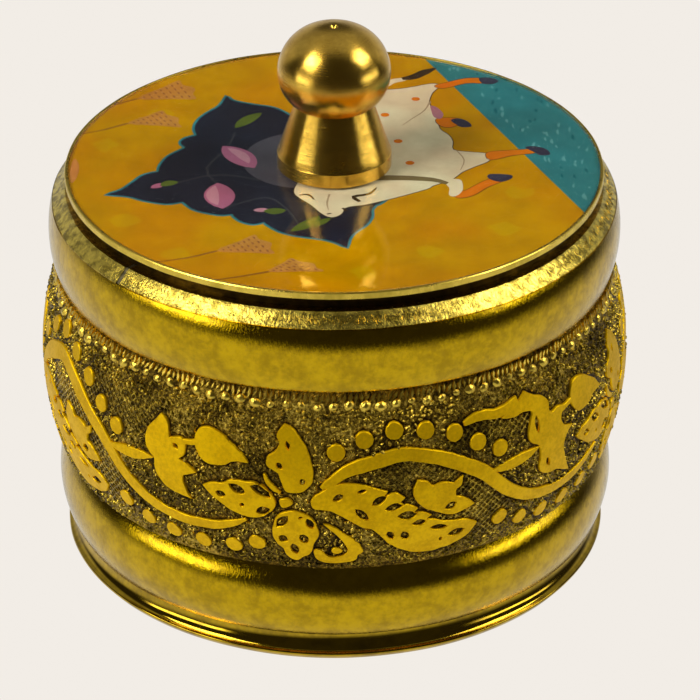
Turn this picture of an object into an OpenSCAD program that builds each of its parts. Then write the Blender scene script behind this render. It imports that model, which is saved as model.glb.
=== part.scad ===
// Small round brass spice box: a barrel-shaped chased body on a swelling foot, with a half-round
// ring under the mouth and a flat picture lid that lifts off by a turned knob.
// Millimetres, +Z up. The origin is the centre of the foot's underside, on the table.

/* [Body] */
// Widest diameter of the box, across the middle of the belly
belly_d = 80; // [79:0.5:84]
// Height of the belly's widest ring above the table
belly_mid_z = 27.6; // [27:0.1:28.5]
// Radius of the barrel curve of the belly, seen from the side
belly_curve_r = 38.5; // [36:0.5:46]
// Thickness of the beaten sheet of the belly, foot and mouth ring
wall = 0.9; // [0.7:0.05:1.1]

/* [Foot] */
// Height of the foot, up to the groove under the belly
foot_h = 14.5; // [14:0.1:15]
// Widest diameter of the swelling foot
foot_d = 76.7; // [76:0.1:77]
// Radius of the foot's curve, seen from the side
foot_curve_r = 11.65; // [11:0.05:14]
// Height of the flared base ring that the box stands on
base_h = 3.9; // [3.6:0.1:4.2]
// Diameter of the base ring at its lip
base_d = 75; // [74.6:0.1:75.2]
// Radius of the cove between the base ring's lip and the foot
base_cove_r = 2; // [1.6:0.1:2.2]
// Height of the soldered floor's underside above the table
floor_z = 2.2; // [1.5:0.1:2.4]
// Thickness of the floor
floor_t = 1.2; // [0.8:0.1:1.4]

/* [Mouth] */
// Height of the belly's top edge, under the mouth ring
belly_top_z = 41.2; // [40.8:0.1:41.6]
// Widest diameter of the half-round mouth ring
bead_d = 77; // [76.6:0.1:77.4]
// Radius of the mouth ring's curve, seen from the side
bead_curve_r = 14; // [12:0.5:20]
// Height of the mouth ring's top edge
bead_top_z = 50.3; // [50:0.1:51]
// Height of the rim strip's top, the shoulder of the mouth
band_top_z = 52; // [51.8:0.1:52.8]
// Diameter of the rim strip at its top, above its bevel
band_top_d = 72.4; // [72:0.1:73]
// Width of the soldered joint across the rim strip
seam_w = 0.5; // [0.3:0.1:1]
// Direction of the soldered joint, from +X towards +Y
seam_angle = 223; // [0:1:359]
// Outside diameter of the neck that the lid sits on
neck_d = 69.2; // [68.6:0.1:69.6]
// Thickness of the neck
neck_wall = 0.8; // [0.6:0.05:1]
// Height of the neck's lower edge, inside the box
neck_bottom_z = 46; // [43:0.5:48]
// Height of the neck's top edge, where the lid rests
neck_top_z = 53.6; // [53.4:0.1:54]

/* [Lid] */
// Diameter of the lid
lid_d = 72; // [71:0.1:72.4]
// Thickness of the lid at its raised rim
lid_t = 1; // [0.9:0.05:1.2]
// Thickness of the lid's sheet under the picture
plate_t = 0.5; // [0.4:0.05:0.6]
// Width of the lid's raised rim
rim_w = 0.5; // [0.4:0.05:0.8]
// Thickness of the printed picture
film_t = 0.1; // [0.08:0.01:0.15]
// Clearance all round between the lid's locating ring and the neck
lid_clearance = 0.4; // [0.3:0.05:0.6]
// Depth of the lid's locating ring below the lid
locating_h = 4; // [3:0.1:5]

/* [Knob] */
// Diameter of the knob's collar, where it stands on the lid
collar_d = 15.3; // [14.5:0.1:16]
// Height of the collar
collar_h = 2.2; // [1.6:0.1:2.4]
// Diameter of the knob's waist
waist_d = 10.6; // [9.6:0.1:11]
// Height of the waist above the lid
waist_h = 7.6; // [7.4:0.1:8]
// Widest diameter of the knob's flattened ball
ball_d = 15; // [14.6:0.1:15.6]
// Height of the knob above the lid
knob_h = 20; // [19.8:0.1:20.6]
// Diameter of the fixing screw
screw_d = 3; // [2.5:0.1:3.5]
// Length of the fixing screw inside the knob
screw_grip = 8; // [6:0.5:10]
// Outside diameter of the washer under the lid
washer_d = 9; // [8:0.5:12]

/* [Hidden] */
$fn = 180;

// Heights
foot_mid_z = (base_h + foot_h) / 2;
bead_mid_z = (belly_top_z + bead_top_z) / 2 + 0.5;
lid_top_z = neck_top_z + lid_t;
film_z = neck_top_z + plate_t;
resin_z = film_z + film_t;
ball_low_z = lid_top_z + waist_h;
ball_top_z = lid_top_z + knob_h;
ball_curve_r = (ball_top_z - ball_low_z) / 2;
waist_top_z = ball_low_z + ball_curve_r
    - sqrt(pow(ball_curve_r, 2) - pow(waist_d / 2 - ball_d / 2 + ball_curve_r, 2));

// Radii at the ends of the curved shells
function curve_at(d, curve_r, mid_z, z) = d / 2 - curve_r + sqrt(curve_r * curve_r - pow(z - mid_z, 2));
bead_top_r = curve_at(bead_d, bead_curve_r, bead_mid_z, bead_top_z);
crease_r = curve_at(foot_d, foot_curve_r, foot_mid_z, base_h) - 0.4;
foot_inner_r = curve_at(foot_d, foot_curve_r, foot_mid_z, base_h) - wall;
lip_foot_r = base_d / 2 - 0.8;
neck_inner_r = neck_d / 2 - neck_wall;
locating_r = neck_inner_r - lid_clearance;

// Small fits and edges
loose = 0.1;            // gap round the screw in each plain hole
washer_t = 0.6;
head_d = 5.6;
head_h = 1.7;
slot_w = 0.8;           // screwdriver slot in the screw's head
ball_flat_r = 1.1;      // small flat on top of the knob
dimple_r = 0.5;         // lathe centre's mark in that flat
cut = 0.01;             // how far a cutting solid passes a face

// Half the section of a shell between two heights, whose outside is an arc seen from the side
module curved_shell(d, curve_r, mid_z, low_z, high_z) {
    rotate_extrude()
        intersection() {
            difference() {
                translate([d / 2 - curve_r, mid_z]) circle(r = curve_r);
                translate([d / 2 - curve_r, mid_z]) circle(r = curve_r - wall);
            }
            translate([d / 4, low_z]) square([d, high_z - low_z]);
        }
}

module ring(outer_r, inner_r, low_z, h) {
    translate([0, 0, low_z])
        difference() {
            cylinder(r = outer_r, h = h);
            translate([0, 0, -cut]) cylinder(r = inner_r, h = h + 2 * cut);
        }
}

module disc_with_hole(d, hole_d, low_z, h) {
    ring(d / 2, hole_d / 2, low_z, h);
}

// Flared ring with a thin lip, coved in to the crease under the foot
module base_ring() {
    color("goldenrod")
        rotate_extrude()
            difference() {
                polygon([
                    [foot_inner_r, 0], [lip_foot_r, 0], [base_d / 2, 1.1],
                    [base_d / 2, base_h], [foot_inner_r, base_h]
                ]);
                translate([crease_r + base_cove_r, base_h]) circle(r = base_cove_r);
            }
}

module foot_bulge() {
    color("goldenrod") curved_shell(foot_d, foot_curve_r, foot_mid_z, base_h, foot_h);
}

// Disc soldered inside the base ring
module floor_plate() {
    color("peru") translate([0, 0, floor_z]) cylinder(r = foot_inner_r, h = floor_t);
}

module belly_wall() {
    color("darkgoldenrod") curved_shell(belly_d, belly_curve_r, belly_mid_z, foot_h, belly_top_z);
}

module mouth_bead() {
    color("goldenrod") curved_shell(bead_d, bead_curve_r, bead_mid_z, belly_top_z, bead_top_z);
}

// Strip bent round the mouth, bevelled outside, with its two ends left apart for the solder
module rim_strip() {
    rotate_extrude()
        polygon([
            [neck_d / 2, bead_top_z], [bead_top_r, bead_top_z],
            [band_top_d / 2, band_top_z], [neck_d / 2, band_top_z]
        ]);
}

module seam_gap() {
    rotate([0, 0, seam_angle])
        translate([neck_d / 4, -seam_w / 2, bead_top_z - 1]) cube([neck_d / 2, seam_w, 4]);
}

module rim_band() {
    color("gold")
        difference() {
            rim_strip();
            seam_gap();
        }
}

module band_solder() {
    color("khaki")
        intersection() {
            rim_strip();
            seam_gap();
        }
}

module neck_sleeve() {
    color("peru") ring(neck_d / 2, neck_inner_r, neck_bottom_z, neck_top_z - neck_bottom_z);
}

// Shallow pan of sheet brass that holds the picture and the resin
module lid_plate() {
    color("gold")
        difference() {
            translate([0, 0, neck_top_z]) cylinder(d = lid_d, h = lid_t);
            translate([0, 0, film_z]) cylinder(r = lid_d / 2 - rim_w, h = lid_t);
            translate([0, 0, neck_top_z - cut]) cylinder(d = screw_d + 2 * loose, h = lid_t);
        }
}

module picture_film() {
    color("orange") disc_with_hole(lid_d - 2 * rim_w, screw_d + 2 * loose, film_z, film_t);
}

module resin_cover() {
    color("lightyellow", 0.4)
        disc_with_hole(lid_d - 2 * rim_w, screw_d + 2 * loose, resin_z, lid_top_z - resin_z);
}

// Ring under the lid that keeps it from sliding off the neck
module locating_ring() {
    color("peru") ring(locating_r, locating_r - neck_wall, neck_top_z - locating_h, locating_h);
}

module knob_washer() {
    color("peru") disc_with_hole(washer_d, screw_d + 2 * loose, neck_top_z - washer_t, washer_t);
}

module knob_screw() {
    head_z = neck_top_z - washer_t - head_h;
    color("silver")
        difference() {
            union() {
                translate([0, 0, head_z]) cylinder(d = head_d, h = head_h);
                translate([0, 0, head_z]) cylinder(d = screw_d, h = lid_top_z - head_z + screw_grip);
            }
            translate([-head_d, -slot_w / 2, head_z - 1]) cube([2 * head_d, slot_w, 1.8]);
        }
}

// Turned knob: a collar, a cone drawn in to the waist, and a flattened ball
module knob() {
    hole_r = screw_d / 2 + loose;
    color("gold")
        difference() {
            rotate_extrude()
                union() {
                    translate([0, lid_top_z]) square([collar_d / 2, collar_h]);
                    polygon([
                        [0, lid_top_z + collar_h], [collar_d / 2, lid_top_z + collar_h],
                        [waist_d / 2, waist_top_z], [0, waist_top_z]
                    ]);
                    intersection() {
                        translate([ball_d / 2 - ball_curve_r, ball_low_z + ball_curve_r])
                            circle(r = ball_curve_r);
                        translate([0, ball_low_z - 1]) square([ball_d, knob_h]);
                    }
                    translate([0, ball_low_z]) square([ball_flat_r, ball_top_z - ball_low_z]);
                }
            translate([0, 0, ball_top_z]) sphere(r = dimple_r);
            translate([0, 0, lid_top_z - 1]) cylinder(r = hole_r, h = screw_grip + 1.5);
        }
}

base_ring();
foot_bulge();
floor_plate();
belly_wall();
mouth_bead();
rim_band();
band_solder();
neck_sleeve();
lid_plate();
picture_film();
resin_cover();
locating_ring();
knob_washer();
knob_screw();
knob();
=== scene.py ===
"""Looks of a small round brass spice box with a chased belly and a picture lid, on its CAD frame."""

import math
import random

import bpy
import numpy as np
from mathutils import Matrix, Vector, geometry, kdtree, noise


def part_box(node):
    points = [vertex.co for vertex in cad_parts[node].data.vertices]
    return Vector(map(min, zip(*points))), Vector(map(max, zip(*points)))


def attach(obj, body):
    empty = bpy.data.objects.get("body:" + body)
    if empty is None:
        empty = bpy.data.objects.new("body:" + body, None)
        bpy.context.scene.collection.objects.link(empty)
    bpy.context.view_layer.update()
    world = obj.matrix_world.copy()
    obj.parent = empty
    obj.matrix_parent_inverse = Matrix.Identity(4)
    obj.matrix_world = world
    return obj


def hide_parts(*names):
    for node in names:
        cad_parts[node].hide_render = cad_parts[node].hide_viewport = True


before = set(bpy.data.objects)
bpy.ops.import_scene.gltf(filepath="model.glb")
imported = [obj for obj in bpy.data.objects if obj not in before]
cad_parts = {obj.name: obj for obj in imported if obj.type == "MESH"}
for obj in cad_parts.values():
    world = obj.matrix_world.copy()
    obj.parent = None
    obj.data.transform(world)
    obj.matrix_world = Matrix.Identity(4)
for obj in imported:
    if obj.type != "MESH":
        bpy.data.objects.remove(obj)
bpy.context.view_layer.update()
mm = 0.001


# Camera: a long lens about half a metre away, a little above the lid, looking along +Y.
camera_distance = 481.7 * mm
camera_pitch = math.radians(29.9)
camera_aim = Vector((2.1 * mm, 0, 25.8 * mm))
camera_data = bpy.data.cameras.new("camera")
camera_data.lens = 180
camera_data.sensor_width = 36
camera_data.clip_start = 0.01
camera = bpy.data.objects.new("camera", camera_data)
camera_back = Vector((0, -math.cos(camera_pitch), math.sin(camera_pitch)))
camera.location = camera_aim + camera_back * camera_distance
camera.rotation_euler = (math.pi / 2 - camera_pitch, 0, 0)
bpy.context.scene.collection.objects.link(camera)
bpy.context.scene.camera = camera


# Studio: a plain pale floor, two soft lamps at the front left and front right, and a pale room that
# is darker behind the camera, because polished brass only looks like metal when it has both to show.
def link_new(data, name):
    made = bpy.data.objects.new(name, data)
    bpy.context.scene.collection.objects.link(made)
    return made


def towards(azimuth, elevation):
    """A direction from two angles in degrees. Azimuth 0 is the front, positive to the right."""
    turn = math.radians(azimuth)
    rise = math.radians(elevation)
    return Vector((math.sin(turn) * math.cos(rise), -math.cos(turn) * math.cos(rise), math.sin(rise)))


lamp_side = 0.40
lamp_distance = 0.9
box_middle = Vector((0, 0, 40 * mm))
for name, azimuth, elevation, power, colour in (("lamp_left", -62, 43, 4.3, (1, 0.98, 0.93)),
                                                ("lamp_right", 84, 43, 2.9, (1, 0.98, 0.94))):
    lamp_data = bpy.data.lights.new(name, "AREA")
    lamp_data.shape = "SQUARE"
    lamp_data.size = lamp_side
    lamp_data.energy = power
    lamp_data.color = colour
    lamp = link_new(lamp_data, name)
    lamp.visible_camera = False
    lamp.location = towards(azimuth, elevation) * lamp_distance + box_middle
    lamp.rotation_euler = towards(azimuth, elevation).to_track_quat("Z", "Y").to_euler()

floor_half = 3.0
floor_corners = [(-floor_half, -floor_half, 0), (floor_half, -floor_half, 0),
                 (floor_half, floor_half, 0), (-floor_half, floor_half, 0)]
floor_mesh = bpy.data.meshes.new("floor")
floor_mesh.from_pydata(floor_corners, [], [(0, 1, 2, 3)])
floor = link_new(floor_mesh, "floor")


def new_material(name):
    """A material with an empty node tree, and its output node."""
    material = bpy.data.materials.new(name)
    material.use_nodes = True
    tree = material.node_tree
    tree.nodes.clear()
    return material, tree, tree.nodes.new("ShaderNodeOutputMaterial")


def add(tree, kind, inputs=None, **settings):
    """Adds a node; inputs maps a socket's name or number to a value or to another node's output."""
    node = tree.nodes.new(kind)
    for key, value in settings.items():
        setattr(node, key, value)
    for key, value in (inputs or {}).items():
        if isinstance(value, bpy.types.NodeSocket):
            tree.links.new(value, node.inputs[key])
        else:
            node.inputs[key].default_value = value
    return node


def ramp(tree, factor, stops):
    """A colour ramp from a list of (place, colour or grey)."""
    node = add(tree, "ShaderNodeValToRGB", {"Fac": factor})
    elements = node.color_ramp.elements
    while len(elements) < len(stops):
        elements.new(0.5)
    for element, (place, colour) in zip(elements, stops):
        element.position = place
        element.color = (colour,) * 3 + (1,) if isinstance(colour, (int, float)) else (*colour, 1)
    return node.outputs["Color"]


def blend(tree, factor, low, high):
    """Mixes two colours by a factor; each is a colour or another node's output."""
    low, high = (end if isinstance(end, bpy.types.NodeSocket) else (*end, 1) for end in (low, high))
    return add(tree, "ShaderNodeMix", {0: factor, 6: low, 7: high}, data_type="RGBA").outputs[2]


def calc(tree, operation, *values):
    """A math node with its numbers or linked outputs."""
    return add(tree, "ShaderNodeMath", dict(enumerate(values)), operation=operation).outputs[0]


def dot(tree, first, second):
    """How far one direction points along another."""
    return add(tree, "ShaderNodeVectorMath", {0: first, 1: second},
               operation="DOT_PRODUCT").outputs["Value"]


def between(tree, value, low, high, flip=False):
    """A soft step from 0 at low to 1 at high, or the other way round."""
    ends = {3: 1.0, 4: 0.0} if flip else {3: 0.0, 4: 1.0}
    return add(tree, "ShaderNodeMapRange", {0: value, 1: low, 2: high, **ends},
               interpolation_type="SMOOTHSTEP").outputs[0]


pale_room = (0.888, 0.845, 0.791)
floor_material, tree, out = new_material("pale_floor")
seen = add(tree, "ShaderNodeEmission", {"Color": (*pale_room, 1), "Strength": 1.0})
unseen = add(tree, "ShaderNodeBsdfTransparent")
path = add(tree, "ShaderNodeLightPath")
under = add(tree, "ShaderNodeNewGeometry").outputs["Backfacing"]
shown = calc(tree, "MULTIPLY", path.outputs["Is Camera Ray"], calc(tree, "SUBTRACT", 1.0, under))
either = add(tree, "ShaderNodeMixShader", {0: shown, 1: unseen.outputs[0], 2: seen.outputs[0]})
tree.links.new(either.outputs[0], out.inputs["Surface"])
floor_mesh.materials.append(floor_material)

room = bpy.data.worlds.new("room")
bpy.context.scene.world = room
room.use_nodes = True
tree = room.node_tree
tree.nodes.clear()
direction = add(tree, "ShaderNodeTexCoord").outputs["Generated"]
axes = add(tree, "ShaderNodeSeparateXYZ", {0: direction}).outputs
# The room: pale behind the box and above it, dark in front, for the brass to mirror.
back_wall = ramp(tree, axes["Z"], [(0.0, 0.50), (0.30, 0.40), (0.50, 0.26), (1.0, 0.36)])
backwards = calc(tree, "MULTIPLY_ADD", axes["Z"], 0.75, axes["Y"])
walls = blend(tree, between(tree, backwards, 0.35, 0.65), (0.03, 0.027, 0.02), back_wall)
# A dark patch that the lid mirrors, so that its picture shows through the resin.
lid_mirror = dot(tree, direction, towards(180, 27))
walls = blend(tree, between(tree, lid_mirror, 0.960, 0.988), walls, (0.06, 0.055, 0.04))
# The lit table in front of the box, brighter to the left and lower there.
table_level = calc(tree, "MULTIPLY_ADD", axes["X"], -0.04, 0.66)
leftwards = calc(tree, "MINIMUM", axes["X"], 0.0)
table_edge = calc(tree, "MULTIPLY_ADD", leftwards, 0.15, axes["Z"])
walls = blend(tree, between(tree, table_edge, -0.45, -0.24, flip=True), walls, table_level)
# Two bright windows low at the sides, which draw the long highlights on the polished rings.
for azimuth, elevation, half_width, half_height, strength in (
        (-62, -1, 0.30, 0.075, 3.8), (78, 0, 0.32, 0.065, 3.0)):
    centre = towards(azimuth, elevation)
    across = towards(azimuth + 90, 0)
    mask = between(tree, dot(tree, direction, centre), 0.2, 0.3)
    for way, half in ((across, half_width), (centre.cross(across), half_height)):
        off = calc(tree, "ABSOLUTE", dot(tree, direction, way))
        edge = between(tree, off, half * 0.75, half * 1.25, flip=True)
        mask = calc(tree, "MULTIPLY", mask, edge)
    walls = blend(tree, mask, walls, (strength, strength * 0.99, strength * 0.95))
path = add(tree, "ShaderNodeLightPath")
shown = blend(tree, path.outputs["Is Camera Ray"], walls, pale_room)
background = add(tree, "ShaderNodeBackground", {"Color": shown, "Strength": 1.0})
out = add(tree, "ShaderNodeOutputWorld")
tree.links.new(background.outputs[0], out.inputs["Surface"])
bpy.context.scene.view_settings.view_transform = "Standard"


# Base ring and foot: sheet brass raised to a round swelling, with a flared base ring soldered under
# it. Both were turned against a polishing mop, which leaves soft patches and fine upright marks.
def smooth_piece(name, verts, faces, material, sharp):
    """A smooth object from its points and faces, with edges over an angle in degrees left sharp."""
    mesh = bpy.data.meshes.new(name)
    mesh.from_pydata(verts, [], faces)
    mesh.validate()
    mesh.shade_smooth()
    mesh.set_sharp_from_angle(angle=math.radians(sharp))
    mesh.materials.append(material)
    return link_new(mesh, name)


def turned(name, section, around, material, dent=None, sharp=32):
    """Spins a closed anticlockwise section of (radius, height) about Z, or an open one that ends on it."""
    verts = []
    rows = []
    for radius, height in section:
        if radius < 1e-7:
            rows.append([len(verts)])
            verts.append((0, 0, height))
            continue
        rows.append(list(range(len(verts), len(verts) + around)))
        for step in range(around):
            turn = 2 * math.pi * step / around
            out_to = radius + (dent(turn, radius, height) if dent else 0)
            verts.append((out_to * math.cos(turn), out_to * math.sin(turn), height))
    on_axis = len(rows[0]) == 1 and len(rows[-1]) == 1
    pairs = list(zip(rows, rows[1:])) + ([] if on_axis else [(rows[-1], rows[0])])
    faces = []
    for low, high in pairs:
        for step in range(around):
            after = (step + 1) % around
            if len(low) == 1:
                faces.append((low[0], high[after], high[step]))
            elif len(high) == 1:
                faces.append((low[step], low[after], high[0]))
            else:
                faces.append((low[step], low[after], high[after], high[step]))
    return smooth_piece(name, verts, faces, material, sharp)


def bulge(widest, curve_r, mid_z, low_z, high_z, steps):
    """Points (radius, height) up an arc whose widest ring is at mid_z."""
    heights = [low_z + (high_z - low_z) * step / steps for step in range(steps + 1)]
    return [(widest - curve_r + math.sqrt(curve_r ** 2 - (z - mid_z) ** 2), z) for z in heights]


def shell(outside, wall):
    """Closes an outside curve with an inside one that lies a wall's thickness within it."""
    return outside + [(radius - wall, z) for radius, z in reversed(outside)]


def hand_beaten(depth, pitch, seed):
    """A shallow inward waviness, as beaten sheet has; pitch is the size of one dent."""

    def dent(turn, radius, height):
        spot = Vector((math.cos(turn) * radius, math.sin(turn) * radius, height * 0.8)) / pitch
        return -depth * (0.5 + 0.5 * noise.noise(spot + Vector((seed, 0, 0))))


    return dent


def group_tree(name, inputs, outputs):
    """An empty shader node group; inputs are (name, kind, value), outputs are (name, kind)."""
    tree = bpy.data.node_groups.new(name, "ShaderNodeTree")
    for label, kind, value in inputs:
        socket = tree.interface.new_socket(label, in_out="INPUT", socket_type="NodeSocket" + kind)
        if value is not None:
            socket.default_value = value
    for label, kind in outputs:
        tree.interface.new_socket(label, in_out="OUTPUT", socket_type="NodeSocket" + kind)
    return tree, tree.nodes.new("NodeGroupInput").outputs, tree.nodes.new("NodeGroupOutput").inputs


def noise_at(tree, vector, scale, detail=3.0, rough=0.5):
    settings = {"Vector": vector, "Scale": scale, "Detail": detail, "Roughness": rough}
    return add(tree, "ShaderNodeTexNoise", settings).outputs["Fac"]


# Uneven polish: broad dull patches and small specks, for any brass that hands have rubbed.
uneven_polish, given, put = group_tree(
    "uneven polish",
    [("Vector", "Vector", None), ("Patch size", "Float", 0.008), ("Speck size", "Float", 0.0012),
     ("Speck share", "Float", 0.35)],
    [("Dullness", "Float")])
tree = uneven_polish
broad = noise_at(tree, given["Vector"], calc(tree, "DIVIDE", 1.0, given["Patch size"]), 4.0, 0.6)
small = noise_at(tree, given["Vector"], calc(tree, "DIVIDE", 1.0, given["Speck size"]), 3.0, 0.6)
both = calc(tree, "ADD", calc(tree, "MULTIPLY", small, given["Speck share"]),
            calc(tree, "MULTIPLY", broad, calc(tree, "SUBTRACT", 1.0, given["Speck share"])))
spread = add(tree, "ShaderNodeMapRange", {0: both, 1: 0.36, 2: 0.66}, interpolation_type="SMOOTHSTEP")
tree.links.new(spread.outputs[0], put["Dullness"])

# Rubbed marks: fine streaks, upright on a wall, or running round the turned pieces.
rubbed_marks, given, put = group_tree(
    "rubbed marks",
    [("Vector", "Vector", None), ("Mark width", "Float", 0.0004), ("Stretch", "Float", 12.0),
     ("Round", "Float", 0.0)],
    [("Marks", "Float")])
tree = rubbed_marks
axes = add(tree, "ShaderNodeSeparateXYZ", {0: given["Vector"]}).outputs
fine = calc(tree, "DIVIDE", 1.0, given["Mark width"])
upright = add(tree, "ShaderNodeCombineXYZ", {
    0: calc(tree, "MULTIPLY", axes[0], fine), 1: calc(tree, "MULTIPLY", axes[1], fine),
    2: calc(tree, "DIVIDE", calc(tree, "MULTIPLY", axes[2], fine), given["Stretch"])}).outputs[0]
radius = calc(tree, "SQRT", calc(tree, "ADD", calc(tree, "MULTIPLY", axes[0], axes[0]),
                                 calc(tree, "MULTIPLY", axes[1], axes[1])))
lengthways = calc(tree, "DIVIDE", fine, given["Stretch"])
round_way = add(tree, "ShaderNodeCombineXYZ", {
    0: calc(tree, "MULTIPLY_ADD", axes[0], lengthways, calc(tree, "MULTIPLY", radius, fine)),
    1: calc(tree, "MULTIPLY", axes[1], lengthways), 2: calc(tree, "MULTIPLY", axes[2], fine)}).outputs[0]
chosen = add(tree, "ShaderNodeMix", {0: given["Round"], 4: upright, 5: round_way}, data_type="VECTOR")
streaks = noise_at(tree, chosen.outputs[1], 1.0, 4.0, 0.65)
tree.links.new(streaks, put["Marks"])


def object_place(tree):
    return add(tree, "ShaderNodeTexCoord").outputs["Object"]


def patches_of(tree, place, patch_size, **others):
    """The dullness mask of the uneven polish group."""
    return add(tree, "ShaderNodeGroup", {"Vector": place, "Patch size": patch_size, **others},
               node_tree=uneven_polish).outputs["Dullness"]


def streaks_of(tree, place, width, stretch, turned_round=0.0):
    """The height of the rubbed marks group."""
    return add(tree, "ShaderNodeGroup", {"Vector": place, "Mark width": width, "Stretch": stretch,
                                         "Round": turned_round}, node_tree=rubbed_marks).outputs["Marks"]


def metal_face(tree, out, colour, rough, height, depth, metallic=1.0, more=None):
    """Puts metal on a material, with a bump a depth in metres high; more sets other shader sockets."""
    bump = add(tree, "ShaderNodeBump", {"Strength": 1.0, "Distance": depth, "Height": height})
    face = add(tree, "ShaderNodeBsdfPrincipled", {
        "Base Color": colour, "Metallic": metallic, "Roughness": rough, "Normal": bump.outputs[0],
        **(more or {})})
    tree.links.new(face.outputs[0], out.inputs["Surface"])


def polished_brass(name, clean, dull, rough_range, patch_size, marks, mark_depth, speck_share=0.35,
                   lathe=0.0, lacquer=0.0):
    """Lacquered brass with uneven polish and rubbed marks; marks are (width, stretch, round). Lathe
    marks draw its highlights out across them."""
    material, tree, out = new_material(name)
    place = object_place(tree)
    patches = patches_of(tree, place, patch_size, **{"Speck share": speck_share})
    streaks = streaks_of(tree, place, *marks)
    rough = calc(tree, "MULTIPLY_ADD", patches, rough_range[1] - rough_range[0], rough_range[0])
    rough = calc(tree, "MULTIPLY_ADD", calc(tree, "SUBTRACT", streaks, 0.5), 0.12, rough)
    more = {"Coat Weight": lacquer, "Coat Roughness": 0.06}
    if lathe:
        tangent = add(tree, "ShaderNodeTangent", direction_type="RADIAL", axis="Z").outputs[0]
        more.update({"Anisotropic": lathe, "Anisotropic Rotation": 0.25, "Tangent": tangent})
    metal_face(tree, out, blend(tree, patches, clean, dull), rough, streaks, mark_depth, more=more)
    return material


satin_brass = polished_brass("satin_brass", (0.71, 0.455, 0.005), (0.46, 0.285, 0.004), (0.06, 0.15),
                             3.5 * mm, (0.24 * mm, 6.0, 0.0), 0.030 * mm, 0.45, lacquer=0.12)

foot_low, foot_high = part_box("foot_bulge")
base_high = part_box("base_ring")[1]
foot_curve_r = 11.65 * mm
sheet = 0.9 * mm
foot_mid_z = (foot_low.z + foot_high.z) / 2
foot_outside = bulge(foot_high.x, foot_curve_r, foot_mid_z, foot_low.z, foot_high.z, 40)
foot = turned("foot_bulge_turned", shell(foot_outside, sheet), 384, satin_brass,
              hand_beaten(0.10 * mm, 9 * mm, 3.1))
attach(foot, "box")
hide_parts("foot_bulge")

base_bright = polished_brass("bright_cove_brass", (0.62, 0.40, 0.010), (0.34, 0.21, 0.008), (0.05, 0.14),
                             5 * mm, (0.30 * mm, 16.0, 1.0), 0.004 * mm, lacquer=0.3)
lip_r = base_high.x
lip_top_z = 1.2 * mm
crease_r = foot_outside[0][0] - 0.75 * mm
inner_r = foot_outside[0][0] - sheet
cove_in = lip_r - 0.16 * mm - crease_r
cove_up = base_high.z - lip_top_z
cove = []
for step in range(17):
    turn = math.radians(8 + 82 * step / 16)
    cove.append((crease_r + cove_in * (1 - math.sin(turn)), lip_top_z + cove_up * (1 - math.cos(turn))))
base_section = [(inner_r, 0), (lip_r - 0.8 * mm, 0), (lip_r - 0.5 * mm, 0.10 * mm),
                (lip_r - 0.10 * mm, 0.62 * mm), (lip_r, 0.82 * mm), (lip_r, 1.0 * mm),
                (lip_r - 0.08 * mm, 1.14 * mm)]
base = turned("base_ring_turned", base_section + cove + [(inner_r, base_high.z)], 384, base_bright,
              hand_beaten(0.16 * mm, 7 * mm, 8.4))
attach(base, "box")
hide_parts("base_ring")


# Floor: a plain disc of sheet brass soldered inside the base ring. Nobody polishes it, so it is
# duller than the outside.
inner_brass = polished_brass("inner_brass", (0.36, 0.24, 0.055), (0.17, 0.11, 0.03), (0.36, 0.56), 9 * mm,
                             (0.5 * mm, 8.0, 1.0), 0.012 * mm)
floor_low, floor_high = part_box("floor_plate")
disc_r = floor_high.x
disc_section = [(0, floor_low.z), (disc_r - 0.1 * mm, floor_low.z), (disc_r, floor_low.z + 0.1 * mm),
                (disc_r, floor_high.z), (disc_r - 4 * mm, floor_high.z), (0, floor_high.z - 0.15 * mm)]
disc = turned("floor_disc", disc_section, 192, inner_brass)
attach(disc, "box")
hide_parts("floor_plate")


# Belly: one chased sheet. The ground is beaten down and matted, and a vine with flowers is left
# standing on it. Outlines are in millimetres: along the belly from its front, then above the table.
belly_low, belly_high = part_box("belly_wall")
belly_r = belly_high.x
belly_mid_z = 27.6 * mm
belly_curve_r = 38.5 * mm
relief_depth = 0.30 * mm
unroll_r = 40
girth = 2 * math.pi * unroll_r
TIP = "tip"


def belly_radius(z):
    return belly_r - belly_curve_r + math.sqrt(belly_curve_r ** 2 - (z - belly_mid_z) ** 2)


def on_belly(along, up, depth):
    """The place in space of a spot on the belly, a depth in metres under its envelope."""
    turn = along / unroll_r - math.pi / 2
    radius = belly_radius(up * mm) - depth
    return Vector((radius * math.cos(turn), radius * math.sin(turn), up * mm))


def out_of_belly(along, up):
    """The direction straight out of the belly at a spot."""
    turn = along / unroll_r - math.pi / 2
    rise = (up * mm - belly_mid_z) / belly_curve_r
    flat = math.sqrt(1 - rise * rise)
    return Vector((math.cos(turn) * flat, math.sin(turn) * flat, rise))


def smooth_span(here, ahead, leave, arrive, per_span):
    """Points on one smooth span from here towards ahead, which leaves and arrives as told."""
    span = []
    for step in range(per_span):
        t = step / per_span
        span.append(here * (2 * t ** 3 - 3 * t ** 2 + 1) + leave * (t ** 3 - 2 * t ** 2 + t)
                    + ahead * (3 * t ** 2 - 2 * t ** 3) + arrive * (t ** 3 - t ** 2))
    return span


def smooth_loop(points, per_span=4):
    """A closed smooth curve through given points, with a corner at each point marked TIP."""
    spots = [Vector(p[:2]) for p in points]
    tips = [len(p) == 3 for p in points]
    count = len(spots)
    curve = []
    for i in range(count):
        before, here, ahead, beyond = (spots[(i + k) % count] for k in (-1, 0, 1, 2))
        leave = (ahead - here) if tips[i] else (ahead - before) / 2
        arrive = (ahead - here) if tips[(i + 1) % count] else (beyond - here) / 2
        curve += smooth_span(here, ahead, leave, arrive, per_span)
    return curve


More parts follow.
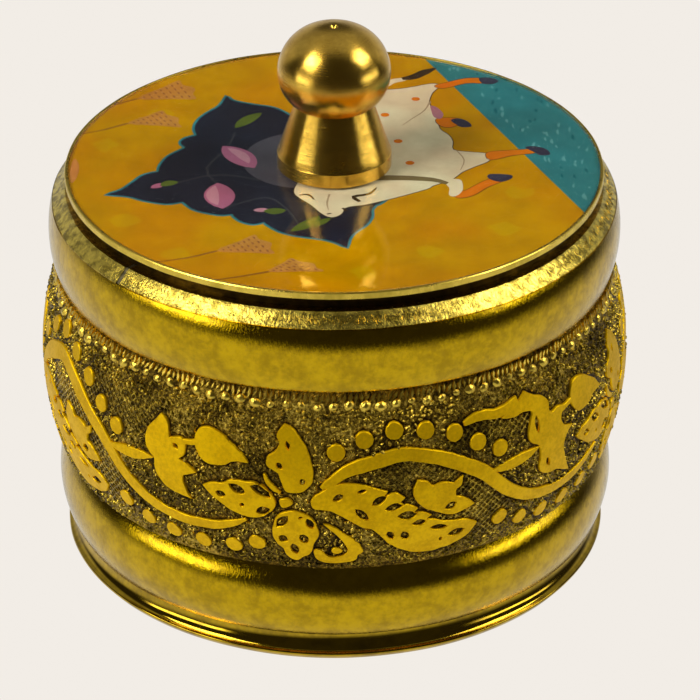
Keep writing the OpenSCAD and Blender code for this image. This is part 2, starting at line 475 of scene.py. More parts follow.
def lens(start, end, width, bow=0.0, sides=5):
    """A closed lens from start to end, bent sideways by bow."""
    start, end = Vector(start), Vector(end)
    across = Vector((start.y - end.y, end.x - start.x)).normalized()
    loop = []
    for side, steps in ((-1, range(sides)), (1, range(sides, 0, -1))):
        for step in steps:
            t = step / sides
            swell = math.sin(math.pi * t) ** 0.7
            loop.append(start.lerp(end, t) + across * swell * (side * width / 2 + bow))
    return loop


def ribbon(points, widths, per_span=4):
    """A closed strip along an open smooth line; widths go from its start to its end."""
    spots = [Vector(p) for p in points]
    line = []
    for i in range(len(spots) - 1):
        here, ahead = spots[i], spots[i + 1]
        leave = (ahead - spots[max(i - 1, 0)]) / 2
        arrive = (spots[min(i + 2, len(spots) - 1)] - here) / 2
        line += smooth_span(here, ahead, leave, arrive, per_span)
    line.append(spots[-1])
    left, right = [], []
    for i, spot in enumerate(line):
        way = (line[min(i + 1, len(line) - 1)] - line[max(i - 1, 0)]).normalized()
        width = float(np.interp(i / (len(line) - 1), np.linspace(0, 1, len(widths)), widths))
        across = Vector((-way.y, way.x)) * width / 2
        left.append(spot + across)
        right.append(spot - across)
    return right + left[::-1]


def ring_of(centre, radius, sides=12):
    return [Vector((centre[0] + radius * math.cos(2 * math.pi * k / sides),
                    centre[1] + radius * math.sin(2 * math.pi * k / sides))) for k in range(sides)]


def anticlockwise(loop):
    area = sum(a.x * b.y - b.x * a.y for a, b in zip(loop, loop[1:] + loop[:1]))
    return loop if area > 0 else loop[::-1]


def inside(loop, points):
    """Which rows of points lie in a closed loop, by counting crossings."""
    x, y = points[:, 0], points[:, 1]
    hit = np.zeros(len(points), bool)
    for a, b in zip(loop, loop[1:] + loop[:1]):
        crossing = (a[1] > y) != (b[1] > y)
        hit ^= crossing & (x < (b[0] - a[0]) * (y - a[1]) / (b[1] - a[1] + 1e-12) + a[0])
    return hit


def inside_all(loops, points):
    hit = np.zeros(len(points), bool)
    for loop in loops:
        hit ^= inside(loop, points)
    return hit


def raise_solid(solid, loops, place, rings, spacing):
    """Adds a closed solid to (verts, faces): loops[0] with the other loops as holes. Each ring is
    (growth outwards in mm, depth in metres), from the top face's edge down to the foot."""
    verts, faces = solid
    loops = [anticlockwise(loop) for loop in loops]
    coords, edges = [], []
    for loop in loops:
        first = len(coords)
        coords += loop
        edges += [(first + k, first + (k + 1) % len(loop)) for k in range(len(loop))]
    rim = np.array([tuple(p) for p in coords])
    low, high = rim.min(axis=0), rim.max(axis=0)
    lattice = np.array([(x, y) for x in np.arange(low[0], high[0], spacing)
                        for y in np.arange(low[1], high[1], spacing)])
    # Points spread over the face keep its triangles small enough to follow the curve.
    if len(lattice):
        gap = np.sqrt(((lattice[:, None, :] - rim[None, :, :]) ** 2).sum(axis=2)).min(axis=1)
        lattice = lattice[(gap > spacing * 0.4) & inside_all(loops, lattice)]
        coords = coords + [Vector(p) for p in lattice]
    spots, _, triangles, _, _, _ = geometry.delaunay_2d_cdt(coords, edges, [], 0, 1e-6)
    middles = np.array([tuple((spots[a] + spots[b] + spots[c]) / 3) for a, b, c in triangles])
    kept = []
    for (a, b, c), keep in zip(triangles, inside_all(loops, middles)):
        area = (spots[b] - spots[a]).cross(spots[c] - spots[a])
        if keep and abs(area) > 1e-9:
            kept.append((a, b, c) if area > 0 else (a, c, b))
    # The outline is every side that only one triangle has, and each of its points moves outwards.
    sides = {(t[k], t[(k + 1) % 3]) for t in kept for k in range(3)}
    edge = [(a, b) for a, b in sides if (b, a) not in sides]
    outwards = {}
    for a, b in edge:
        along = (spots[b] - spots[a]).normalized()
        for end in (a, b):
            outwards[end] = outwards.get(end, Vector((0, 0))) + Vector((along.y, -along.x))
    used = sorted({k for t in kept for k in t})
    top = {}
    for k in used:
        top[k] = len(verts)
        verts.append(place(*spots[k], rings[0][1]))
    faces += [tuple(top[k] for k in t) for t in kept]
    above = top
    for growth, depth in rings[1:]:
        below = {}
        for k, way in outwards.items():
            spot = spots[k] + way.normalized() * growth
            below[k] = len(verts)
            verts.append(place(*spot, depth))
        faces += [(above[b], above[a], below[a], below[b]) for a, b in edge]
        above = below
    # The underside repeats the face, at the foot's depth.
    under = dict(above)
    for k in used:
        if k not in under:
            under[k] = len(verts)
            verts.append(place(*spots[k], rings[-1][1]))
    faces += [tuple(under[k] for k in reversed(t)) for t in kept]


# One repeat of the pattern: the vine and its shoots, the flower's petals, the leaves and the dots.
vine = ribbon([(-1.5, 28.4), (0, 29.5), (2, 30.9), (5, 31.8), (9, 32.6), (13, 31.7), (16, 30.4), (19, 28.6),
               (21, 27), (24, 24), (27, 21.9), (30, 20.7), (34, 20.1), (38, 20.4), (41, 21.4), (43, 22.5)],
              [0.4, 1.3, 1.7, 1.8, 1.7, 1.8, 1.9, 1.8, 1.7, 1.6, 1.5, 1.4, 1.0, 0.3])
side_shoot = lens((21.2, 27.5), (29.4, 28.4), 1.5, -0.3)
high_shoot = ribbon([(17.6, 35.2), (20, 35.8), (23, 35.4), (26, 36.3)], [0.5, 1.1, 1.2, 0.9])


def cut(start, end, width, bow=0.0):
    """A lens cut through a raised piece, wide enough for the slope of its own walls."""
    return lens(start, end, 1.3 * width + 0.22, bow)


left_petal = [(-17.4, 26.6, TIP), (-16.6, 25.8), (-15.5, 24.9), (-14, 23.9), (-12.5, 23.3), (-11, 23),
              (-9.5, 23.3), (-8.5, 24), (-7.7, 25), (-7.6, 26), (-8.2, 27.2), (-9.3, 28), (-10.5, 28.4),
              (-12, 28.3), (-13.5, 28.2), (-14.5, 27.6), (-16, 27.3)]
left_cuts = [cut((-13.8, 27.7), (-11.4, 26.5), 0.9), cut((-10.9, 27.9), (-8.1, 26.4), 1.0, 0.25),
             cut((-15.7, 26.0), (-14.1, 25.8), 0.7), cut((-10.2, 23.9), (-8.2, 24.7), 0.9),
             cut((-12.4, 24.8), (-11.6, 24.6), 0.4)]
small_bud = [(-6.9, 26.2), (-6, 26.5), (-5.3, 26), (-5.7, 25.4), (-6.6, 25.2)]
top_bud = [(-6.4, 36.9, TIP), (-7.3, 35.5), (-7, 34.3), (-7.6, 33.1), (-8.6, 32.3), (-8.4, 31),
           (-7.1, 30.2), (-6.7, 29), (-6.3, 28), (-5.5, 27.5), (-4, 27.8), (-2.9, 29), (-2.7, 30.5),
           (-2.9, 31.7), (-3.2, 33), (-3.9, 34.5), (-4.8, 35.8), (-5.5, 36.5)]
top_cuts = [cut((-7.5, 31.7), (-6.5, 30.9), 0.55), cut((-4.2, 29.7), (-3.7, 28.8), 0.5),
            cut((-6.1, 34.9), (-5.8, 33.4), 0.35)]
top_wing = ribbon([(-8.9, 29.8), (-8.5, 28.8), (-7.6, 27.8), (-6.8, 27.4)], [0.2, 0.6, 0.55, 0.2])
bottom_petal = [(-7.9, 21.8), (-7.4, 23.5), (-6.5, 24.3), (-5.2, 24.6), (-3.8, 24.3), (-2.7, 23.4),
                (-2.1, 22), (-2, 20.8), (-2.6, 19.5), (-2.9, 18.4), (-3.3, 17.4), (-4.1, 17), (-4.8, 16.3),
                (-5.7, 16.5), (-6.4, 17.2), (-6.7, 18.2), (-7.5, 19), (-7.9, 20.2)]
bottom_cuts = [cut((-7.5, 21.9), (-5.9, 23.9), 0.9), cut((-3.5, 23.6), (-2.6, 21.9), 0.7),
               cut((-7.3, 20.4), (-6.0, 19.6), 0.9), cut((-4.5, 20.9), (-3.3, 19.5), 0.85),
               cut((-5.5, 19.3), (-4.9, 17.4), 0.8), cut((-4.4, 23.9), (-4.1, 23.4), 0.35)]
acanthus = [(-2.9, 26), (-2.4, 27.1), (-1.1, 28.0), (0, 28.7), (2, 29.0), (4, 28.6), (5.5, 28.0),
            (6.9, 27.5, TIP), (6.6, 26.9), (8, 27.1), (9.2, 26.3, TIP), (8.5, 25.5), (9.6, 25.2),
            (11, 24.4, TIP), (10.6, 23.8), (11.6, 23.6), (12.9, 22.9, TIP), (12.2, 22.3), (13.1, 22.2),
            (14.3, 21.6), (16, 21.1), (18, 20.8), (19.7, 19.8, TIP), (18.7, 18.3), (17, 17.3), (15, 16.8),
            (13, 16.6), (11, 16.9), (9, 17.8), (7.5, 18.9), (6.5, 20), (6, 20.9), (5, 21.8), (3.8, 22.2),
            (2.5, 23), (1.2, 24), (0, 24.8), (-1, 25.1), (-2.4, 25.2)]
acanthus_cuts = [cut((-0.2, 26.5), (1.3, 27.4), 0.7), cut((4.9, 25.6), (6.9, 26.9), 0.9),
                 cut((6.5, 24.7), (9.2, 25.3), 0.8), cut((2.7, 25.2), (4.6, 23.2), 0.8),
                 cut((8.2, 23.4), (11.1, 23.5), 1.0), cut((10.2, 21.9), (12.4, 22.1), 0.7),
                 cut((7.1, 21.2), (7.9, 19.7), 0.7), cut((9.1, 20.9), (9.8, 19.4), 0.8),
                 cut((12.7, 20.8), (15.5, 20.5), 0.6), cut((15.4, 18.8), (18.1, 19.4), 0.8),
                 cut((14.3, 18.7), (14.8, 18.4), 0.4), cut((2.9, 27.6), (4.3, 28.0), 0.35)]
curl = [(-1.3, 22.8, TIP), (0, 22.3), (1.5, 21), (2.8, 19.9), (3.6, 18.8), (3.9, 17.8), (3.2, 17.2),
        (2.9, 16.4), (1.5, 16), (0, 15.9), (-1.5, 16.1), (-2.4, 16.9), (-2.5, 18.2), (-1.7, 18.2),
        (-1.1, 17.3), (0, 16.9), (1.4, 17.3), (1.9, 18.2), (1.6, 19.3), (0.6, 20.8), (-0.5, 21.9)]
curl_dot = [(-0.2, 18.4), (0.6, 18.7), (1.1, 18.2), (0.6, 17.7), (-0.1, 17.8)]
maple = [(10.9, 28.6, TIP), (12.2, 28.2), (13, 27.4), (14, 27.7), (15.2, 27.5), (16.1, 27.3),
         (17.2, 28, TIP), (16.9, 26.8), (16.2, 26.2), (16.3, 25.1), (17.5, 24.6), (19, 23.3, TIP),
         (17.5, 22.7), (16, 22.4), (14.6, 22.8), (13.3, 23.5), (12, 24.3), (11, 25.3), (10.5, 26.5),
         (10.6, 27.6)]
maple_cuts = [cut((14.7, 23.4), (16.4, 24.2), 0.8)]
sprig = [(28.2, 31), (28.7, 32.8), (29.7, 34), (30.5, 35.0, TIP), (31.5, 34.2), (31.9, 33), (32.1, 32.2),
         (33, 32.5), (33.9, 32.6), (34.5, 31.9), (34.4, 31), (34.2, 30.2), (33.6, 29.5), (34.8, 29),
         (36.1, 28.2, TIP), (35, 27.7), (34.2, 27.3), (34.1, 26.5), (34.5, 25), (35.3, 23.9, TIP),
         (33.5, 24.2), (31.5, 24.7), (30.2, 26), (29.7, 27.3), (29.7, 28.5), (29.1, 29), (28.5, 29.8)]
sprig_cuts = [cut((32.6, 31.6), (33.5, 30.8), 0.45)]
tall_sprig = [(30.1, 24.2), (31.5, 23.4), (33, 23.3), (34.5, 22.6), (35.9, 21.9, TIP), (35.3, 23.2),
              (34.6, 24.8), (34.1, 26.5), (34.8, 28.2), (36, 28.9, TIP), (34.4, 29.4), (33.6, 30.6),
              (34.0, 31.8), (34.9, 32.3), (33.2, 32.7), (32, 32.4),
              (31.2, 33), (31.3, 34.2), (30.2, 35.3), (28.8, 35.9), (27.4, 36.8, TIP), (26.2, 35.9),
              (24.6, 35.4), (23.2, 34.6, TIP), (25, 34.2), (26.8, 34.4), (28.3, 33.9), (28.0, 32.6),
              (27.6, 31), (28, 29.6), (29.4, 28.4), (29.8, 26.5), (29.6, 25.2)]
tall_cuts = [cut((28.9, 33.2), (29.2, 30.4), 0.5), cut((30.9, 26.2), (31.4, 24.6), 0.5)]
sprig_stem = ribbon([(33.9, 32.1), (35, 32.3), (36.4, 32.7)], [0.7, 0.55, 0.7])
heart = [(35.9, 33.6), (36.5, 34.6), (37.7, 35.0), (39.2, 34.6), (41, 33.5), (42.4, 32.4),
         (43.4, 31.2, TIP), (42, 31.2), (41, 31.0), (40.2, 30.3), (39, 30.1), (37.5, 30.2), (36.5, 31.2),
         (35.9, 32.4)]
dots_above = [(0.3, 33.4), (4, 35.0), (8, 35.9), (12.2, 35.4), (16.2, 34.4), (19.5, 32.3), (22.8, 30.5)]
dots_below = [(23.5, 19.4), (27.3, 17.9), (31.5, 17.3), (36.2, 17.2), (40.8, 17.6), (44.2, 18.7)]

# Each repeat of the pattern: where its flower stands, how far it is drawn out, and how high its vine
# crests. The two repeats at the back share what is left of the girth.
front_pitch = 54.5
back_pitch = (girth - 3 * front_pitch) / 2
flower_at = -5.5
repeats = [(flower_at - front_pitch, 1.0, 2.0, False), (flower_at, 1.0, 0.0, True),
           (flower_at + front_pitch, 1.0, 1.2, False),
           (flower_at + 2 * front_pitch, back_pitch / front_pitch, 0.4, True),
           (flower_at + 2 * front_pitch + back_pitch, back_pitch / front_pitch, 1.5, False)]


def hand_cut(loop, middle, stretch, crest, seed):
    """Moves an outline to its repeat, and lets it stray a little, as hand-cut work does."""
    moved = []
    for spot in loop:
        lift = crest * math.exp(-((spot.x - 7) / 7) ** 2) * max(0, min(1, (spot.y - 29) / 3))
        stray = noise.noise_vector(Vector((spot.x * 0.9, spot.y * 0.9, seed))) * 0.12
        moved.append(Vector((middle + (spot.x - flower_at) * stretch + stray.x, spot.y + lift + stray.y)))
    return moved


def repeat_pattern(middle, stretch, crest, tall, seed):
    """The loops of every raised piece of one repeat: an outline first, then its cuts."""
    drawn = [[vine], [side_shoot], [sprig_stem], [top_wing]]
    drawn += [[smooth_loop(outline)] + cuts for outline, cuts in (
        (left_petal, left_cuts), (small_bud, []), (top_bud, top_cuts), (bottom_petal, bottom_cuts),
        (acanthus, acanthus_cuts), (curl, []), (curl_dot, []), (maple, maple_cuts), (heart, []),
        (tall_sprig, tall_cuts) if tall else (sprig, sprig_cuts))]
    drawn += [[high_shoot]] if tall else []
    drawn += [[ring_of(spot, 1.12)] for spot in dots_above + dots_below]
    return [[hand_cut(loop, middle, stretch, crest, seed + k * 0.37) for loop in loops]
            for k, loops in enumerate(drawn)]


noise.seed_set(4)
ornament = []
for seed, (middle, stretch, crest, tall) in enumerate(repeats):
    ornament += repeat_pattern(middle, stretch, crest, tall, 5.0 + seed * 3.3)


def ornament_place(along, up, depth):
    worn = 0.025 * mm * (1 + noise.noise(Vector((along * 0.35, up * 0.35, 2.0))))
    return on_belly(along, up, depth + worn)


ornament_solid = ([], [])
ornament_rings = [(0, 0.0), (0.05, 0.04 * mm), (0.10, 0.14 * mm), (0.13, relief_depth + 0.12 * mm)]
for loops in ornament:
    raise_solid(ornament_solid, loops, ornament_place, ornament_rings, 1.2)

# The ornament's faces are scraped flat and bright, with fine scratches and dark left in the pits.
ornament_brass, tree, out = new_material("scraped_ornament_brass")
place = object_place(tree)
patches = patches_of(tree, place, 3 * mm, **{"Speck size": 0.5 * mm, "Speck share": 0.45})
colour = blend(tree, patches, (1.0, 0.63, 0.004), (0.80, 0.49, 0.004))
rough = calc(tree, "MULTIPLY_ADD", patches, 0.12, 0.50)
metal_face(tree, out, colour, rough, streaks_of(tree, place, 0.25 * mm, 5.0), 0.022 * mm)

vine_piece = smooth_piece("belly_vine_and_flowers", *ornament_solid, ornament_brass, 30)
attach(vine_piece, "box")

# Ground: the wall itself, beaten down round the ornament, with a scored line along each outline.
outline_spots = [(spot.x + turn, spot.y, 0) for loops in ornament for loop in loops for spot in loop
                 for turn in (-girth, 0, girth) if abs(spot.x + turn) < girth * 0.55]
outline_tree = kdtree.KDTree(len(outline_spots))
for index, spot in enumerate(outline_spots):
    outline_tree.insert(spot, index)
outline_tree.balance()


def line_near(along, up, reach=0.55):
    """1 beside an outline, down to 0 at its reach."""
    found = outline_tree.find((along, up, 0))[2]
    return max(0.0, 1 - (found or 0) / reach)


def wrap(along):
    """The same spot, counted from the front."""
    return (along + girth / 2) % girth - girth / 2


ground_line = []


def ground_dent(turn, radius, height):
    along = wrap((turn + math.pi / 2) * unroll_r)
    up = height / mm
    if radius < belly_radius(height) - sheet / 2:
        ground_line.append(0.0)
        return 0.0
    near = line_near(along, up)
    ground_line.append(near)
    spot = Vector((math.cos(turn), math.sin(turn), 0)) * unroll_r + Vector((0, 0, up))
    beaten = 0.05 * noise.noise(spot * 0.8) + 0.045 * noise.noise(spot * 1.9)
    from_end = min(up - belly_low.z / mm, belly_high.z / mm - up)
    tuck = 0.10 * max(0.0, 1 - from_end / 1.3) ** 2
    return -relief_depth + (beaten - 0.10 * near - tuck) * mm


# The ground's colour is patina with painted shade and light: darker beside every outline and in the dips of
# its grain bump, brighter on the grain's tops as painted highlights.
ground_brass, tree, out = new_material("matted_ground_patina_and_painted_shade")
place = object_place(tree)
line = add(tree, "ShaderNodeAttribute", attribute_name="line").outputs["Fac"]
grain = noise_at(tree, place, 1 / (0.50 * mm), 4.0, 0.75)
patch = noise_at(tree, place, 1 / (6 * mm), 3.0, 0.55)
lit = calc(tree, "ADD", calc(tree, "MULTIPLY", grain, 0.75), calc(tree, "MULTIPLY", patch, 0.45))
# Painted shade in the scored groove beside each outline.
lit = calc(tree, "SUBTRACT", lit, calc(tree, "MULTIPLY", line, 0.22))
colour = ramp(tree, lit, [(0.42, (0.012, 0.007, 0.002)), (0.55, (0.065, 0.038, 0.005)),
                          (0.65, (0.30, 0.19, 0.02)), (0.76, (0.90, 0.64, 0.10))])
metal_face(tree, out, colour, calc(tree, "MULTIPLY_ADD", grain, -0.35, 0.55), grain, 0.26 * mm)

belly_outside = bulge(belly_r, belly_curve_r, belly_mid_z, belly_low.z, belly_high.z, 92)
belly_inside = bulge(belly_r - sheet, belly_curve_r - sheet, belly_mid_z, belly_low.z, belly_high.z, 12)
belly = turned("belly_ground", belly_outside + belly_inside[::-1], 640, ground_brass, ground_dent)
shade = belly.data.attributes.new("line", "FLOAT", "POINT")
shade.data.foreach_set("value", ground_line)
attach(belly, "box")
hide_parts("belly_wall")

# Punch work on the ground: matting grains, crossed ridges beside the flowers, and a border of
# punched beads and chisel strokes under the mouth ring. One node tree sets every punch in place.
punch_tree = bpy.data.node_groups.new("set punches", "GeometryNodeTree")
for label, kind, value in (("Points", "Geometry", None), ("Punch", "Object", None),
                           ("Finish", "Material", None), ("Length", "Float", 1.0), ("Width", "Float", 1.0),
                           ("Height", "Float", 1.0), ("Size variation", "Float", 0.2),
                           ("Turn", "Float", 0.0), ("Wobble", "Float", 0.1),
                           ("Seed", "Int", 0)):
    socket = punch_tree.interface.new_socket(label, in_out="INPUT", socket_type="NodeSocket" + kind)
    if value is not None:
        socket.default_value = value
punch_tree.interface.new_socket("Punched", in_out="OUTPUT", socket_type="NodeSocketGeometry")
tree = punch_tree
given = tree.nodes.new("NodeGroupInput").outputs
put = tree.nodes.new("NodeGroupOutput").inputs
outwards = add(tree, "GeometryNodeInputNamedAttribute", {"Name": "out"},
               data_type="FLOAT_VECTOR").outputs[0]
along = add(tree, "ShaderNodeVectorMath", {0: (0, 0, 1), 1: outwards}, operation="CROSS_PRODUCT").outputs[0]
facing = add(tree, "FunctionNodeAxesToRotation", {0: outwards, 1: along},
             primary_axis="Z", secondary_axis="X")
stray = add(tree, "FunctionNodeRandomValue", {2: calc(tree, "MULTIPLY", given["Wobble"], -1.0),
                                              3: given["Wobble"], "Seed": given["Seed"]}, data_type="FLOAT")
turn = calc(tree, "ADD", given["Turn"], stray.outputs[1])
spin = add(tree, "FunctionNodeEulerToRotation",
           {0: add(tree, "ShaderNodeCombineXYZ", {2: turn}).outputs[0]}).outputs[0]
rotation = add(tree, "FunctionNodeRotateRotation", {0: facing.outputs[0], 1: spin}, rotation_space="LOCAL")
least = calc(tree, "SUBTRACT", 1.0, given["Size variation"])
most = calc(tree, "ADD", 1.0, given["Size variation"])
size_seed = calc(tree, "ADD", given["Seed"], 7.0)
size = add(tree, "FunctionNodeRandomValue", {2: least, 3: most, "Seed": size_seed},
           data_type="FLOAT").outputs[1]
sizes = add(tree, "ShaderNodeCombineXYZ", {
    0: calc(tree, "MULTIPLY", given["Length"], size), 1: calc(tree, "MULTIPLY", given["Width"], size),
    2: calc(tree, "MULTIPLY", given["Height"], size)}).outputs[0]
shape = add(tree, "GeometryNodeObjectInfo", {"Object": given["Punch"]}, transform_space="ORIGINAL")
placed = add(tree, "GeometryNodeInstanceOnPoints", {
    "Points": given["Points"], "Instance": shape.outputs["Geometry"], "Rotation": rotation.outputs[0],
    "Scale": sizes})
real = add(tree, "GeometryNodeRealizeInstances", {0: placed.outputs[0]})
done = add(tree, "GeometryNodeSetMaterial", {"Geometry": real.outputs[0], "Material": given["Finish"]})
tree.links.new(done.outputs[0], put["Punched"])


def run_nodes(name, carrier, tree, values):
    """Runs a node tree on a carrier mesh and keeps the result as a plain mesh object."""
    modifier = carrier.modifiers.new("nodes", "NODES")
    modifier.node_group = tree
    for item in tree.interface.items_tree:
        if item.item_type == "SOCKET" and item.in_out == "INPUT" and item.name in values:
            modifier[item.identifier] = values[item.name]
    bpy.context.view_layer.update()
    seen_by = carrier.evaluated_get(bpy.context.evaluated_depsgraph_get())
    mesh = bpy.data.meshes.new_from_object(seen_by)
    mesh.name = name
    bpy.data.objects.remove(carrier, do_unlink=True)
    return mesh


def punched(name, spots, place, punch, finish, size, variation, turn, wobble, seed):
    """A mesh of one punch repeated at spots (along, up). Place gives each spot's place and outward
    way; size is the punch's length, width and height."""
    places = [place(*spot) for spot in spots]
    mesh = bpy.data.meshes.new(name + "_points")
    mesh.from_pydata([spot for spot, _ in places], [], [])
    ways = mesh.attributes.new("out", "FLOAT_VECTOR", "POINT")
    ways.data.foreach_set("vector", [number for _, way in places for number in way])
    values = {"Punch": punch, "Finish": finish, "Length": size[0], "Width": size[1], "Height": size[2],
              "Size variation": variation, "Turn": turn, "Wobble": wobble, "Seed": seed}
    return run_nodes(name, link_new(mesh, name + "_points"), punch_tree, values)


def punch_shape(name, outline_rings, sides):
    """A closed low bump: rings of (radius, height) with a centre point on top and underneath."""
    verts = [(0, 0, outline_rings[0][1])]
    for radius, height in outline_rings:
        verts += [(radius * math.cos(2 * math.pi * k / sides), radius * math.sin(2 * math.pi * k / sides),
                   height)
                  for k in range(sides)]
    verts.append((0, 0, outline_rings[-1][1]))
    faces = [(0, 1 + k, 1 + (k + 1) % sides) for k in range(sides)]
    for row in range(len(outline_rings) - 1):
        first = 1 + row * sides
        faces += [(first + k, first + sides + k, first + sides + (k + 1) % sides, first + (k + 1) % sides)
                  for k in range(sides)]
    last = 1 + (len(outline_rings) - 1) * sides
    faces += [(len(verts) - 1, last + (k + 1) % sides, last + k) for k in range(sides)]
    mesh = bpy.data.meshes.new(name)
    mesh.from_pydata(verts, [], faces)
    mesh.shade_smooth()
    return link_new(mesh, name)


grain_shape = punch_shape("grain_shape", [(0.5, 1.0), (1.0, 0.0)], 5)
grain_shape.data.vertices[0].co.z = 1.25
bead_shape = punch_shape("bead_shape", [(0.55, 0.86), (1.0, 0.0)], 9)
bead_shape.data.vertices[0].co.z = 1.05
bar_shape = punch_shape("bar_shape", [(0.72, 1.0), (1.0, 0.0)], 4)

ornament_boxes = []
for loops in ornament:
    rim = np.array([tuple(spot) for spot in loops[0]])
    for turn in (-girth, 0, girth):
        shifted = [[(spot.x + turn, spot.y) for spot in loop] for loop in loops]
        ornament_boxes.append((rim.min(axis=0) + (turn, 0), rim.max(axis=0) + (turn, 0), shifted))


def on_ornament(points):
    """Which rows of points lie on raised ornament."""
    hit = np.zeros(len(points), bool)
    for low, high, loops in ornament_boxes:
        near = ((points >= low) & (points <= high)).all(axis=1)
        if near.any():
            hit[near] |= inside_all(loops, points[near])
    return hit


def lattice(pitch_along, pitch_up, low, high, stray, seed):
    """Rows of spots round the whole belly, each shifted half a step and strayed a little."""
    pick = random.Random(seed)
    count = round(girth / pitch_along)
    spots = []
    rows = int((high - low) / pitch_up) + 1
    for row in range(rows):
        for step in range(count):
            along = (step + 0.5 * (row % 2)) * girth / count - girth / 2
            spots.append((along + pick.uniform(-stray, stray),
                          low + row * pitch_up + pick.uniform(-stray, stray)))
    return np.array(spots)


def clear_ground(points, margin):
    """Keeps the spots that are off the ornament, and a margin away from its outlines."""
    free = points[~on_ornament(points)]
    return [tuple(p) for p in free if outline_tree.find((p[0], p[1], 0))[2] > margin]


def hatched(along, up):
    """Whether a spot lies in a crossed-ridge field: round the right half of each flower."""
    for middle, stretch, _, _ in repeats:
        for turn in (-girth, 0, girth):
            across = (along + turn - middle) / stretch + flower_at
            if 5.5 < across < 25 and 17.5 < up < 31.5 and up < 36 - 0.42 * across:
                return True
            if 15 < across < 30 and 31.5 < up < 36.5:
                return True
    return False


def sunk(depth):
    """Places punches on the ground, a depth in millimetres below the belly's envelope."""
    return lambda along, up: (on_belly(along, up, depth * mm), out_of_belly(along, up))


def worn_brass(name, patch_size, shift, rough):
    """Brass that is dark and rubbed bright in random patches; shift makes more of it bright."""
    material, tree, out = new_material(name)
    place = object_place(tree)
    patch = noise_at(tree, place, 1 / patch_size, 3.0, 0.75)
    broad = noise_at(tree, place, 1 / (7 * mm), 2.0, 0.5)
    lit = calc(tree, "ADD", calc(tree, "MULTIPLY", patch, 0.8),
               calc(tree, "MULTIPLY_ADD", broad, 0.4, shift))
    colour = ramp(tree, lit, [(0.44, (0.030, 0.019, 0.005)), (0.56, (0.15, 0.10, 0.012)),
                              (0.66, (0.50, 0.34, 0.03)), (0.76, (0.88, 0.62, 0.08))])
    metal_face(tree, out, colour, rough, noise_at(tree, place, 1 / (0.35 * mm), 2.0, 0.5), 0.12 * mm)
    return material


grain_brass = worn_brass("worn_grain_brass", 0.8 * mm, 0.02, 0.30)
# The border's copy is shifted brighter than the grains' to stand for the light its punches catch: rubbed
# wear with a painted highlight.
border_brass = worn_brass("worn_border_brass_painted_bright", 1.0 * mm, 0.26, 0.30)
ground_depth = relief_depth / mm + 0.04
matting = clear_ground(lattice(0.72, 0.58, 15.3, 38.6, 0.26, 11), 0.34)
matting = [spot for spot in matting if not hatched(*spot)]
ridges = clear_ground(lattice(0.98, 0.49, 17, 36.6, 0.05, 12), 0.40)
ridges = [spot for spot in ridges if hatched(*spot)]
grains = punched("matting", matting, sunk(ground_depth), grain_shape, grain_brass,
                 (0.36 * mm, 0.20 * mm, 0.23 * mm), 0.5, 0.0, 3.1, 21)
cross_up = punched("ridges_up", ridges, sunk(ground_depth), bar_shape, grain_brass,
                   (0.60 * mm, 0.16 * mm, 0.15 * mm), 0.12, math.radians(42), 0.12, 22)
cross_down = punched("ridges_down", ridges, sunk(ground_depth), bar_shape, grain_brass,
                     (0.60 * mm, 0.16 * mm, 0.14 * mm), 0.12, math.radians(-42), 0.12, 23)
dot_count = 118
stroke_count = 330
border_dots = [(k * girth / dot_count - girth / 2, 39.25 + 0.18 * math.sin(k * 1.7))
               for k in range(dot_count)]
strokes = [(k * girth / stroke_count - girth / 2, 40.35) for k in range(stroke_count)]
border_beads = punched("border_beads", border_dots, sunk(0.36), bead_shape, border_brass,
                       (0.74 * mm, 0.60 * mm, 0.38 * mm), 0.28, 0.0, 0.9, 24)
border_strokes = punched("border_strokes", strokes, sunk(0.32), bar_shape, border_brass,
                         (0.76 * mm, 0.25 * mm, 0.34 * mm), 0.26, math.radians(74), 0.34, 25)


def keep_meshes(name, meshes, material, body):
    """Joins plain meshes into one piece that rides on a body."""
    verts, faces = [], []
    for mesh in meshes:
        first = len(verts)
        verts += [vertex.co[:] for vertex in mesh.vertices]
        faces += [tuple(first + k for k in face.vertices) for face in mesh.polygons]
        bpy.data.meshes.remove(mesh)
    piece = smooth_piece(name, verts, faces, material, 50)
    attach(piece, body)


keep_meshes("belly_matting_grains", [grains], grain_brass, "box")
keep_meshes("belly_crossed_ridges", [cross_up, cross_down], grain_brass, "box")
keep_meshes("belly_punched_border", [border_beads, border_strokes], border_brass, "box")


# Mouth ring: a half-round swelling beaten from sheet and soldered on top of the belly, then
# polished like the foot.
bead_low, bead_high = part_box("mouth_bead")
bead_mid_z = (bead_low.z + bead_high.z) / 2 + 0.5 * mm
bead_curve_r = 14 * mm
bead_outside = bulge(bead_high.x, bead_curve_r, bead_mid_z, bead_low.z, bead_high.z, 40)
bead = turned("mouth_bead_turned", shell(bead_outside, sheet), 384, satin_brass,
              hand_beaten(0.12 * mm, 8 * mm, 5.7))
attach(bead, "box")
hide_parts("mouth_bead")


# Rim strip: a bevelled strip bent round the mouth, butted and soldered at the front left. It is
# plain beyond the joint and punched with close upright strokes in front.
band_low, band_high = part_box("rim_band")
neck_low, neck_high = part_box("neck_sleeve")
neck_r = neck_high.x
band_top_r = 36.2 * mm
bead_top_r = bead_outside[-1][0]
seam_turn = math.radians(223)
seam_half = 0.25 * mm / band_top_r
strip_section = [(neck_r, band_low.z), (bead_top_r - 0.05 * mm, band_low.z),
                 (bead_top_r - 0.02 * mm, band_low.z + 0.15 * mm),
                 (bead_top_r - 0.6 * mm, band_low.z + 0.62 * mm),
                 (band_top_r + 0.55 * mm, band_high.z - 0.55 * mm),
                 (band_top_r + 0.10 * mm, band_high.z - 0.12 * mm),
                 (band_top_r - 0.08 * mm, band_high.z), (neck_r, band_high.z)]


